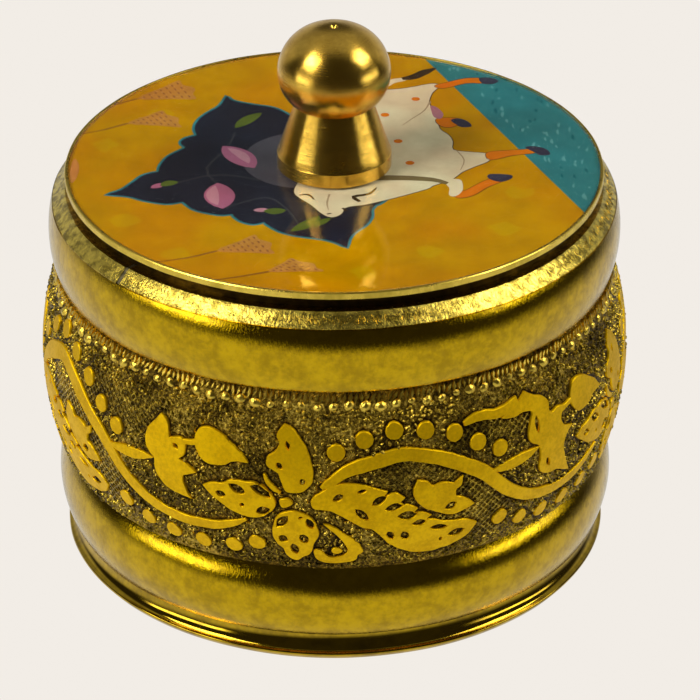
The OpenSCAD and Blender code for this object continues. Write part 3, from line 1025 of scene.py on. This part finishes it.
def bent_strip(name, start, end, around, material, lift):
    """Bends the strip part of the way round Z, with closed ends; lift(turn) moves it outwards."""
    verts, faces = [], []
    for step in range(around + 1):
        turn = start + (end - start) * step / around
        for radius, height in strip_section:
            out_to = radius + (lift(turn) if radius > neck_r + 0.1 * mm else 0)
            verts.append((out_to * math.cos(turn), out_to * math.sin(turn), height))
    rows = len(strip_section)
    for step in range(around):
        for k in range(rows):
            after = (k + 1) % rows
            faces.append((step * rows + k, (step + 1) * rows + k, (step + 1) * rows + after,
                          step * rows + after))
    faces.append(tuple(range(rows)))
    faces.append(tuple(around * rows + k for k in reversed(range(rows))))
    return smooth_piece(name, verts, faces, material, 30)


def strip_lift(turn):
    """The strip's plain end stands a little proud of its punched end at the joint."""
    past = (seam_turn - turn) % (2 * math.pi)
    proud = -0.02 if past < math.radians(24) else -0.12
    return (proud - 0.05 * (0.5 + 0.5 * noise.noise(Vector((math.cos(turn), math.sin(turn), 0)) * 7))) * mm


sheet_brass = polished_brass("sheet_brass", (0.95, 0.68, 0.10), (0.70, 0.50, 0.06), (0.22, 0.40), 4 * mm,
                             (0.30 * mm, 6.0, 0.0), 0.016 * mm)
strip_brass = polished_brass("strip_brass", (0.92, 0.69, 0.11), (0.32, 0.23, 0.03), (0.12, 0.26), 1.2 * mm,
                             (0.42 * mm, 1.8, 0.0), 0.075 * mm, 0.5)
strip = bent_strip("rim_strip_bent", seam_turn + seam_half, seam_turn + 2 * math.pi - seam_half, 380,
                   strip_brass, strip_lift)
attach(strip, "box")
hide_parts("rim_band")

solder_grey, tree, out = new_material("dull_solder")
place = object_place(tree)
pits = noise_at(tree, place, 1 / (0.5 * mm), 3.0, 0.6)
colour = ramp(tree, pits, [(0.35, (0.04, 0.032, 0.015)), (0.65, (0.20, 0.165, 0.08))])
metal_face(tree, out, colour, 0.5, pits, 0.05 * mm, 0.9)
solder = bent_strip("solder_fillet", seam_turn - seam_half, seam_turn + seam_half, 4, solder_grey,
                    lambda turn: -0.16 * mm)
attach(solder, "box")
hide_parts("band_solder")

bevel_mid_r = (bead_top_r + band_top_r) / 2 - 0.17 * mm
bevel_mid_z = (band_low.z + band_high.z) / 2


def on_bevel(turn, shift):
    way = Vector((math.cos(turn), math.sin(turn), 0))
    slope = (way + Vector((0, 0, 1))).normalized()
    return way * (bevel_mid_r + shift) + Vector((0, 0, bevel_mid_z - shift)), slope


stroke_step = math.radians(0.85)
band_strokes = [(seam_turn + math.radians(2) + stroke_step * k, 0.16 * mm * math.sin(k * 2.3))
                for k in range(200)]
band_marks = punched("band_strokes", band_strokes, on_bevel, bar_shape, strip_brass,
                     (0.52 * mm, 0.18 * mm, 0.09 * mm), 0.35, math.radians(84), 0.5, 31)
keep_meshes("rim_strip_punch_marks", [band_marks], strip_brass, "box")


# Neck: a plain sleeve inside the mouth, coloured nearly black: painted shade for the gap under the
# lid's rim, with some tarnish where the polishing wheel cannot reach. The lid sits on its top edge.
# Painted shade: nearly black brass for the dark gap under the lid, with a little tarnish.
gap_shade_tarnished_brass = polished_brass("gap_shade_tarnished_brass", (0.055, 0.034, 0.008), (0.022, 0.013, 0.003),
                                 (0.40, 0.60), 9 * mm, (0.5 * mm, 8.0, 1.0), 0.012 * mm)
neck_wall = 0.8 * mm
neck_section = [(neck_r - neck_wall, neck_low.z), (neck_r, neck_low.z), (neck_r, neck_high.z - 0.12 * mm),
                (neck_r - 0.12 * mm, neck_high.z), (neck_r - neck_wall + 0.12 * mm, neck_high.z),
                (neck_r - neck_wall, neck_high.z - 0.12 * mm)]
neck = turned("neck_sleeve_turned", neck_section, 256, gap_shade_tarnished_brass)
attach(neck, "box")
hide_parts("neck_sleeve")


# Lid: a shallow pan of sheet brass with a thin raised rim, which holds the picture and its resin.
# It was filed by hand, so its edge is a little uneven.
lid_low, lid_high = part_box("lid_plate")
film_low, film_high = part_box("picture_film")
resin_low, resin_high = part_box("resin_cover")
lid_r = lid_high.x
picture_r = film_high.x
hole_r = 1.6 * mm


def filed(turn, radius, height):
    """Unevenness of the lid's outside edge."""
    if radius < picture_r + 0.2 * mm:
        return 0.0
    spot = Vector((math.cos(turn), math.sin(turn), 0)) * 6
    return -0.09 * mm * (0.5 + 0.5 * noise.noise(spot)) - 0.03 * mm * (0.5 + 0.5 * noise.noise(spot * 6))


pan_section = [(hole_r, lid_low.z), (lid_r - 0.12 * mm, lid_low.z), (lid_r, lid_low.z + 0.12 * mm),
               (lid_r, lid_high.z - 0.14 * mm), (lid_r - 0.10 * mm, lid_high.z - 0.02 * mm),
               (lid_r - 0.24 * mm, lid_high.z), (picture_r + 0.06 * mm, lid_high.z - 0.02 * mm),
               (picture_r, lid_high.z - 0.12 * mm), (picture_r, film_low.z), (hole_r, film_low.z)]
pan = turned("lid_pan", pan_section, 384, sheet_brass, filed)
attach(pan, "lid")
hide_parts("lid_plate")


# Picture: a painted print under the resin, in thin coats laid one over another. Outlines are in
# millimetres on the lid, to the right and to the back of its centre.
ink = {
    "marigold": (0.57, 0.30, 0.0008), "gold wash": (0.59, 0.36, 0.002), "rose rim": (0.60, 0.27, 0.07),
    "teal": (0.035, 0.23, 0.27), "pale teal": (0.11, 0.37, 0.41), "deep teal": (0.012, 0.15, 0.19),
    "navy": (0.018, 0.022, 0.042), "cream": (0.80, 0.76, 0.53), "line": (0.055, 0.036, 0.018),
    "shade": (0.46, 0.39, 0.25), "lavender": (0.085, 0.09, 0.125), "pink": (0.42, 0.15, 0.28),
    "pale pink": (0.55, 0.29, 0.40), "leaf": (0.10, 0.17, 0.03), "stem": (0.042, 0.050, 0.065),
    "orange": (0.72, 0.20, 0.008), "indigo": (0.045, 0.045, 0.085), "mauve": (0.45, 0.20, 0.26),
    "strap": (0.20, 0.16, 0.07), "bud": (0.54, 0.26, 0.05), "bud line": (0.25, 0.10, 0.04),
    "thread": (0.30, 0.14, 0.02)}
coats = []


def coat(colour, *loops):
    """Lays one flat coat of colour over those before it."""
    coats.append((colour, [[Vector(p[:2]) for p in loop] for loop in loops]))


def stroke(colour, points, widths):
    coat(colour, ribbon(points, widths, 3))


def grown(loop, by):
    """An outline moved outwards by a small distance all round."""
    loop = anticlockwise(list(loop))
    count = len(loop)
    moved = []
    for k, spot in enumerate(loop):
        way = (loop[(k + 1) % count] - loop[k - 1]).normalized()
        moved.append(spot + Vector((way.y, -way.x)) * by)
    return moved


# The field, with lighter washes in it.
field_r = picture_r / mm - 0.02
screw_hole = ring_of((0, 0), hole_r / mm, 24)
coat("marigold", ring_of((0, 0), field_r, 160), screw_hole)

pick = random.Random(41)
for middle in [(-20, -25), (-31, 6), (-24, 15.5), (-6, 24), (22, -18), (12, -24), (24.5, -8), (-27, -16),
               (4, -30)]:
    wash = [Vector((middle[0] + math.cos(k * 0.7) * pick.uniform(1.2, 2.4),
                    middle[1] + math.sin(k * 0.7) * pick.uniform(1.0, 2.2))) for k in range(9)]
    coat("gold wash", smooth_loop(wash, 3))

# Water across the right-hand side, with short ripples.
water_ends = (math.atan2(33.1, 12.8), math.atan2(-13.8, 32.7))
shore = [Vector((field_r * math.cos(turn), field_r * math.sin(turn)))
         for turn in np.linspace(water_ends[0], water_ends[1], 40)]
coat("teal", shore)
for count in range(90):
    turn = pick.uniform(water_ends[1], water_ends[0])
    reach = pick.uniform(27, field_r - 0.7)
    spot = Vector((reach * math.cos(turn), reach * math.sin(turn)))
    if not inside(shore, np.array([spot]))[0] or spot.x * 0.92 + spot.y * 0.39 < 26.4:
        continue
    length = pick.uniform(0.6, 1.9)
    coat("pale teal" if count % 3 else "deep teal",
         lens(spot + Vector((0, -length / 2)), spot + Vector((pick.uniform(-0.3, 0.3), length / 2)),
              pick.uniform(0.25, 0.5), 0.1, 3))

# The dark patch, with its halo, stems, lotus buds and leaves.
medallion = [(-15, 21.2, TIP), (-14, 19.6), (-11, 18.3), (-9, 17.7), (-7.5, 16.6), (-5.6, 14.4),
             (-3.5, 12.5, TIP), (0, 12.6), (4, 11), (7, 7.5), (7.6, 3), (7.4, 0, TIP), (8.6, -3),
             (8.2, -7), (6.4, -10.6), (5.4, -11.6, TIP), (4.9, -13),
             (4.9, -14.8), (4.2, -17), (2.9, -18.9), (2.1, -20.6), (1.7, -23.3, TIP), (0.2, -21.9),
             (-1.5, -21), (-5, -20), (-7.2, -18.7), (-8.7, -16.9), (-9, -16.3, TIP), (-10.5, -16.9),
             (-12, -16.1), (-12.9, -14.9), (-13.2, -14.1, TIP), (-15, -14.3), (-18, -13), (-19.3, -11.4),
             (-19.8, -10.6, TIP), (-22, -11.2), (-25, -10.2), (-27, -9.1), (-30, -8.6, TIP), (-28, -7.2),
             (-26.6, -5), (-25.6, -3.3), (-24.6, -2.5), (-23.4, -2, TIP), (-23.2, 0), (-22.3, 2.5),
             (-20.8, 4.3), (-20.1, 5.2, TIP), (-20.8, 6.6), (-20.3, 7.9),
             (-19.3, 8.6), (-18.7, 9, TIP), (-19.1, 11), (-18.7, 13.5), (-17.5, 15.8), (-15.9, 18)]
medallion_loop = smooth_loop(medallion, 3)
coat("teal", grown(medallion_loop, 0.36), screw_hole)
coat("navy", medallion_loop, screw_hole)
coat("lavender", ring_of((-4, 1.5), 8.3, 40), screw_hole)
stroke("stem", [(-13.5, 10), (-14.5, 5), (-17, -1), (-15.5, -5.5)], [0.25, 0.4, 0.4, 0.25])
stroke("stem", [(-21.5, -5.8), (-17.5, -3.4), (-14, -3), (-9.5, -4.5)], [0.2, 0.35, 0.35, 0.25])
stroke("stem", [(-14.2, -12.5), (-11.5, -10.5), (-8.5, -9.5), (-6, -13), (-4.5, -17)],
       [0.2, 0.35, 0.35, 0.3, 0.2])
for start, end, width, bow, colour in (
        ((-15.1, 5.7), (-10.6, -0.9), 3.7, 0.2, "pink"),
        ((-14.4, 5.0), (-11.4, 0.4), 1.5, 0.5, "pale pink"),
        ((-15.4, -5.2), (-14.5, -12.6), 4.1, -0.1, "pink"),
        ((-15.7, -6.0), (-15.2, -11.6), 1.7, -0.5, "pale pink"),
        ((-24.2, -6.7), (-22.4, -5.4), 1.2, 0, "pink"), ((-23.0, -6.1), (-20.6, -4.9), 1.5, 0.2, "leaf"),
        ((-10.5, -13.0), (-8.4, -12.9), 1.1, 0, "pale pink"),
        ((-9.2, -13.2), (-6.2, -13.0), 1.7, -0.2, "leaf"),
        ((-13.6, 11.1), (-10.0, 15.9), 1.9, 0.2, "leaf"), ((-5.6, -18.9), (-1.8, -14.6), 1.8, -0.3, "leaf"),
        ((-2.6, -17.6), (-0.4, -15.2), 1.2, 0.1, "leaf")):
    coat(colour, lens(start, end, width, bow, 8))

# The cow: body, shanks, ear, hooves, tail, spots, folds, strap, horn and eye.
cow_body = [(7, 23.2), (10, 23.7), (13.4, 25.1), (14.6, 24.5), (13.6, 22.3), (13.1, 20), (13.1, 18.5),
            (14, 15), (14.3, 11), (15.5, 9), (16, 7), (16, 4.6), (18, 3.9), (20.2, 3.5), (21, 2.4),
            (20.5, 1), (18.6, -0.6), (17.1, -2), (16.2, -3.4), (15.2, -4.6), (13.1, -6), (12.2, -7),
            (8, -9.5), (4.2, -11.4), (2.7, -11.8), (1.5, -12.4), (1, -14), (0.1, -14.9), (-0.8, -14.8),
            (-1.8, -13.6), (-3, -11.5), (-4.4, -9.7), (-5.2, -8.2), (-5.1, -6.4), (-4.2, -2), (-5, 5),
            (-4, 12), (-2, 19), (1.5, 23), (4, 24)]
cow_loop = smooth_loop(cow_body, 3)
coat("line", grown(cow_loop, 0.13), screw_hole)
coat("cream", cow_loop, screw_hole)
for shank in ([(13.9, 24.4), (15.6, 25.5), (18.5, 26.9), (21.2, 26.7), (20.8, 25.3), (18.4, 25.3),
               (15.2, 23.6)],
              [(14.0, 14.0), (16.4, 14.3), (17.2, 13.4), (16.7, 11.9), (15.2, 11.3), (14.1, 12.4)],
              [(20.5, 3.7), (23, 4.3), (26, 4.7), (27.2, 5.0), (27, 3.6), (24, 2.9), (20.9, 1.5)],
              [(15.6, -7.9), (17.3, -7.4), (19.5, -5.0), (21.5, -3.6), (22.3, -4.6), (20.2, -6.5),
               (18.2, -8.9), (16.2, -9.5)]):
    loop = smooth_loop(shank, 3)
    coat("line", grown(loop, 0.10))
    coat("orange", loop)
coat("cream", smooth_loop([(14.4, -4.4), (16.6, -4.2), (17, -6), (16.8, -7.8), (15.9, -9.1), (15.1, -8.6),
                           (15.2, -6.6)], 3))
for hoof in ([(20.2, 26.9), (21.6, 27.1), (22.9, 26.1), (22, 25.0), (20.6, 25.2)],
             [(15.9, 13.6), (17, 14.1), (18.2, 13.2), (18.7, 11.7), (17.4, 11.4), (16.6, 12.2)],
             [(25.7, 5.3), (27, 5.6), (28.5, 4.8), (29, 3.2), (27.7, 2.9), (26.8, 3.9)],
             [(20.3, -3.3), (21, -2.6), (23.4, -2.9), (23.6, -3.8), (22.2, -4.9), (20.9, -4.4)]):
    coat("indigo", smooth_loop(hoof, 3))
coat("mauve", smooth_loop([(13.2, 18), (14.0, 17.6), (14.9, 15.6), (14.5, 14), (13.6, 14.6),
                           (13.3, 16.4)], 3))
coat("cream", smooth_loop([(6.5, 24.6), (7.2, 26), (8.6, 26.8), (10.2, 26.9), (9.8, 26.1), (8.4, 25.4),
                           (7.4, 24.2)], 3))
stroke("line", [(9.4, 26.7), (11, 27.3), (12.6, 28.9), (14.2, 30.2)], [0.8, 1.5, 1.5, 0.3])
for spot in ((6.9, 15.2), (8.6, 7.1), (10.1, 0.6), (11.2, 20.2)):
    coat("orange", ring_of(spot, 0.62, 10))
stroke("shade", [(13.2, 19.4), (12.3, 16.5), (10.6, 14), (9.3, 12)], [0.3, 0.22, 0.18, 0.1])
stroke("shade", [(16.4, 4.4), (17.4, 1.5), (16.8, -1.5)], [0.15, 0.2, 0.1])
stroke("strap", [(5.2, -3.9), (9, -3.8), (13, -4.3), (15, -5.4)], [1.5, 1.4, 1.1, 0.7])
stroke("line", [(3.4, -10.6), (2.6, -9.2), (4.6, -8.4), (5.6, -6.6)], [0.5, 0.7, 0.5, 0.2])
stroke("line", [(-2.6, -10.0), (-3.4, -8.6), (-4.6, -8.8)], [0.2, 0.45, 0.2])
stroke("line", [(1.1, -12.4), (1.7, -13.2)], [0.35, 0.5])
stroke("shade", [(-0.6, -8.5), (-0.9, -11), (-0.7, -13)], [0.3, 0.25, 0.1])
stroke("line", [(-0.9, -14.1), (-0.3, -13.9)], [0.3, 0.2])

# Seed pods on threads at the left and in front.
for tip, wide_a, wide_b, thread in (
        ((-27.4, 20.3), (-21.9, 26.2), (-19.3, 20.2), [(-27.4, 20.3), (-29.5, 19), (-31.5, 17.6)]),
        ((-28.3, 12.6), (-23.8, 16.6), (-20.9, 11.4), [(-28.3, 12.6), (-31.5, 10.6), (-35, 9)]),
        ((-14.9, -24.2), (-10.2, -19.8), (-7.6, -24.9), [(-14.9, -24.2), (-18.5, -26), (-22.5, -27.2)]),
        ((-8.2, -29.7), (-5.4, -26.1), (-1.2, -29.6), [(-8.2, -29.7), (-11.5, -30.9), (-15, -32)])):
    tip, wide_a, wide_b = Vector(tip), Vector(wide_a), Vector(wide_b)
    stroke("thread", thread, [0.35, 0.25, 0.15])
    brow = (wide_a + wide_b) / 2
    coat("bud", smooth_loop([tip, tip.lerp(wide_b, 0.6), wide_b,
                             wide_b.lerp(brow, 0.5) + (brow - tip) * 0.03,
                             brow + (brow - tip) * 0.16, wide_a.lerp(brow, 0.5), wide_a,
                             tip.lerp(wide_a, 0.6)], 3))
    for row in range(1, 8):
        share = row / 7.6
        a, b = tip.lerp(wide_a, share), tip.lerp(wide_b, share)
        for dash in range(row // 2 + 1):
            start = a.lerp(b, (dash + 0.15) / (row // 2 + 1))
            end = a.lerp(b, (dash + 0.75) / (row // 2 + 1))
            coat("bud line", lens(start, end, 0.22, 0.1, 3))
coat("rose rim", smooth_loop([(-34.9, 1.8), (-34.2, 0.5), (-34.0, -2), (-34.3, -4.3), (-34.8, -5.2),
                              (-35.2, -2)], 3))

# Each coat stands a hair above the one before it, so the later ones cover the earlier ones.
film_depth = film_high.z - film_low.z
coat_step = film_depth * 0.42 / len(coats)
first_top = film_low.z + film_depth * 0.5
print_solid = ([], [])
print_inks = []
for order, (colour, loops) in enumerate(coats):
    top = first_top + coat_step * order
    foot = film_low.z if order == 0 else film_low.z + film_depth * 0.3

    def on_lid(x, y, depth, top=top):
        return Vector((x * mm, y * mm, top - depth))

    raise_solid(print_solid, loops, on_lid, [(0, 0.0), (0, top - foot)], 6.0)
    print_inks += [ink[colour]] * (len(print_solid[1]) - len(print_inks))

printed, tree, out = new_material("printed_inks")
place = object_place(tree)
inks = add(tree, "ShaderNodeAttribute", attribute_name="ink").outputs["Color"]
wash = noise_at(tree, place, 1 / (5 * mm), 4.0, 0.6)
speck = noise_at(tree, place, 1 / (0.35 * mm), 2.0, 0.5)
tone = calc(tree, "ADD", calc(tree, "MULTIPLY_ADD", wash, 0.38, 0.40), calc(tree, "MULTIPLY", speck, 0.10))
redder = noise_at(tree, place, 1 / (14 * mm), 2.0, 0.5)
warmed = blend(tree, between(tree, redder, 0.35, 0.65), (1, 1, 1), (1, 0.84, 0.8))
warm_inks = add(tree, "ShaderNodeVectorMath", {0: inks, 1: warmed}, operation="MULTIPLY").outputs[0]
toned = add(tree, "ShaderNodeVectorMath", {0: warm_inks, "Scale": tone}, operation="SCALE").outputs[0]
face = add(tree, "ShaderNodeBsdfPrincipled", {
    "Base Color": toned, "Roughness": 0.6, "Specular IOR Level": 0.0})
tree.links.new(face.outputs[0], out.inputs["Surface"])
picture_mesh = bpy.data.meshes.new("printed_picture")
picture_mesh.from_pydata(print_solid[0], [], print_solid[1])
shades = picture_mesh.attributes.new("ink", "FLOAT_COLOR", "CORNER")
corner_inks = [number for face, colour in zip(print_solid[1], print_inks)
               for _ in face for number in (*colour, 1)]
shades.data.foreach_set("color", corner_inks)
picture_mesh.materials.append(printed)
picture = link_new(picture_mesh, "printed_picture")
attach(picture, "lid")
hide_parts("picture_film")


# Resin: a clear hard coat poured over the picture, level with the rim, with a soft meniscus there
# and round the knob.
resin, tree, out = new_material("clear_resin")
place = object_place(tree)
ripple = noise_at(tree, place, 1 / (9 * mm), 1.0, 0.3)
bump = add(tree, "ShaderNodeBump", {"Strength": 1.0, "Distance": 0.02 * mm, "Height": ripple})
glass = add(tree, "ShaderNodeBsdfPrincipled", {
    "Base Color": (1, 0.985, 0.94, 1), "Roughness": 0.03, "IOR": 1.28, "Transmission Weight": 1.0,
    "Normal": bump.outputs[0]})
clear = add(tree, "ShaderNodeBsdfTransparent", {"Color": (1, 0.99, 0.96, 1)})
path = add(tree, "ShaderNodeLightPath")
let_light = add(tree, "ShaderNodeMixShader", {0: path.outputs["Is Shadow Ray"], 1: glass.outputs[0],
                                              2: clear.outputs[0]})
tree.links.new(let_light.outputs[0], out.inputs["Surface"])
resin_r = picture_r - 0.01 * mm
resin_section = [(hole_r, resin_low.z), (resin_r, resin_low.z), (resin_r, resin_high.z - 0.06 * mm),
                 (resin_r - 0.25 * mm, resin_high.z - 0.10 * mm),
                 (resin_r - 0.8 * mm, resin_high.z - 0.13 * mm),
                 (resin_r - 2 * mm, resin_high.z - 0.14 * mm), (20 * mm, resin_high.z - 0.12 * mm),
                 (9 * mm, resin_high.z - 0.10 * mm), (7.6 * mm, resin_high.z - 0.04 * mm),
                 (hole_r, resin_high.z - 0.04 * mm)]
cover = turned("resin_coat", resin_section, 256, resin)
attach(cover, "lid")
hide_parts("resin_cover")


# Locating ring: a hoop soldered under the lid that drops inside the neck and keeps the lid from
# sliding off.
hoop_low, hoop_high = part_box("locating_ring")
hoop_r = hoop_high.x
hoop_section = [(hoop_r - neck_wall, hoop_low.z + 0.1 * mm), (hoop_r - neck_wall + 0.15 * mm, hoop_low.z),
                (hoop_r - 0.25 * mm, hoop_low.z), (hoop_r - 0.05 * mm, hoop_low.z + 0.25 * mm),
                (hoop_r, hoop_low.z + 0.6 * mm), (hoop_r, hoop_high.z), (hoop_r - neck_wall, hoop_high.z)]
hoop = turned("locating_hoop", hoop_section, 256, inner_brass)
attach(hoop, "lid")
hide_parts("locating_ring")


# Fixing screw and washer: they hold the knob from under the lid. The screw is plain steel with a
# little rust, and keeps its own shape; the washer is brass.
washer_low, washer_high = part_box("knob_washer")
washer_section = [(hole_r, washer_low.z + 0.06 * mm), (hole_r + 0.08 * mm, washer_low.z),
                  (washer_high.x - 0.14 * mm, washer_low.z), (washer_high.x, washer_low.z + 0.14 * mm),
                  (washer_high.x, washer_high.z), (hole_r, washer_high.z)]
washer = turned("knob_washer_turned", washer_section, 96, inner_brass)
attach(washer, "lid")
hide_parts("knob_washer")

screw_steel, tree, out = new_material("screw_steel")
place = object_place(tree)
colour = blend(tree, patches_of(tree, place, 2 * mm), (0.56, 0.55, 0.52), (0.30, 0.25, 0.19))
metal_face(tree, out, colour, 0.34, streaks_of(tree, place, 0.2 * mm, 10.0, 1.0), 0.01 * mm)
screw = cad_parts["knob_screw"]
for screw_slot in screw.material_slots:
    screw_slot.material = screw_steel


# Knob: a collar, a cone and a flattened ball, turned from solid bar and polished on the lathe, with
# tool marks running round it and the lathe centre's dimple on top.
knob_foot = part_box("knob")[0].z
collar_r = 7.65 * mm
collar_h = 2.2 * mm
waist_r = 5.25 * mm
waist_z = knob_foot + 9.2 * mm
ball_r = 7.5 * mm
ball_mid_z = knob_foot + 13.45 * mm
ball_half_up = 6.57 * mm
ball_half_down = 5.9 * mm
ball_power = 0.86
flat_r = 1.1 * mm
knob_section = [(hole_r, knob_foot), (collar_r - 0.15 * mm, knob_foot), (collar_r, knob_foot + 0.15 * mm),
                (collar_r, knob_foot + collar_h - 0.25 * mm),
                (collar_r - 0.12 * mm, knob_foot + collar_h - 0.05 * mm)]
for step in range(1, 9):
    share = step / 8
    knob_section.append((collar_r - 0.12 * mm + (waist_r - collar_r) * share,
                         knob_foot + collar_h + (waist_z - knob_foot - collar_h) * share))
ball_start = -math.acos((waist_r / ball_r) ** (1 / ball_power))
ball_end = math.acos((flat_r / ball_r) ** (1 / ball_power))
for step in range(1, 41):
    turn = ball_start + (ball_end - ball_start) * step / 40
    half = ball_half_up if turn > 0 else ball_half_down
    knob_section.append((ball_r * math.cos(turn) ** ball_power, ball_mid_z + half * math.sin(turn)))
top_z = knob_section[-1][1]
knob_section += [(0.55 * mm, top_z - 0.02 * mm), (0.38 * mm, top_z - 0.18 * mm),
                 (0.2 * mm, top_z - 0.38 * mm), (0, top_z - 0.45 * mm)]
bore_top = knob_foot + 9.0 * mm
knob_section = [(0, bore_top), (hole_r, bore_top)] + knob_section
turned_brass = polished_brass("turned_brass", (0.92, 0.58, 0.09), (0.66, 0.39, 0.05), (0.17, 0.27), 4 * mm,
                              (0.13 * mm, 60.0, 1.0), 0.014 * mm, 0.3, 0.6)
knob = turned("knob_turned", knob_section, 256, turned_brass, sharp=14)
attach(knob, "lid")
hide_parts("knob")


# The punches were only patterns for their marks.
for shape in (grain_shape, bead_shape, bar_shape):
    bpy.data.objects.remove(shape, do_unlink=True)
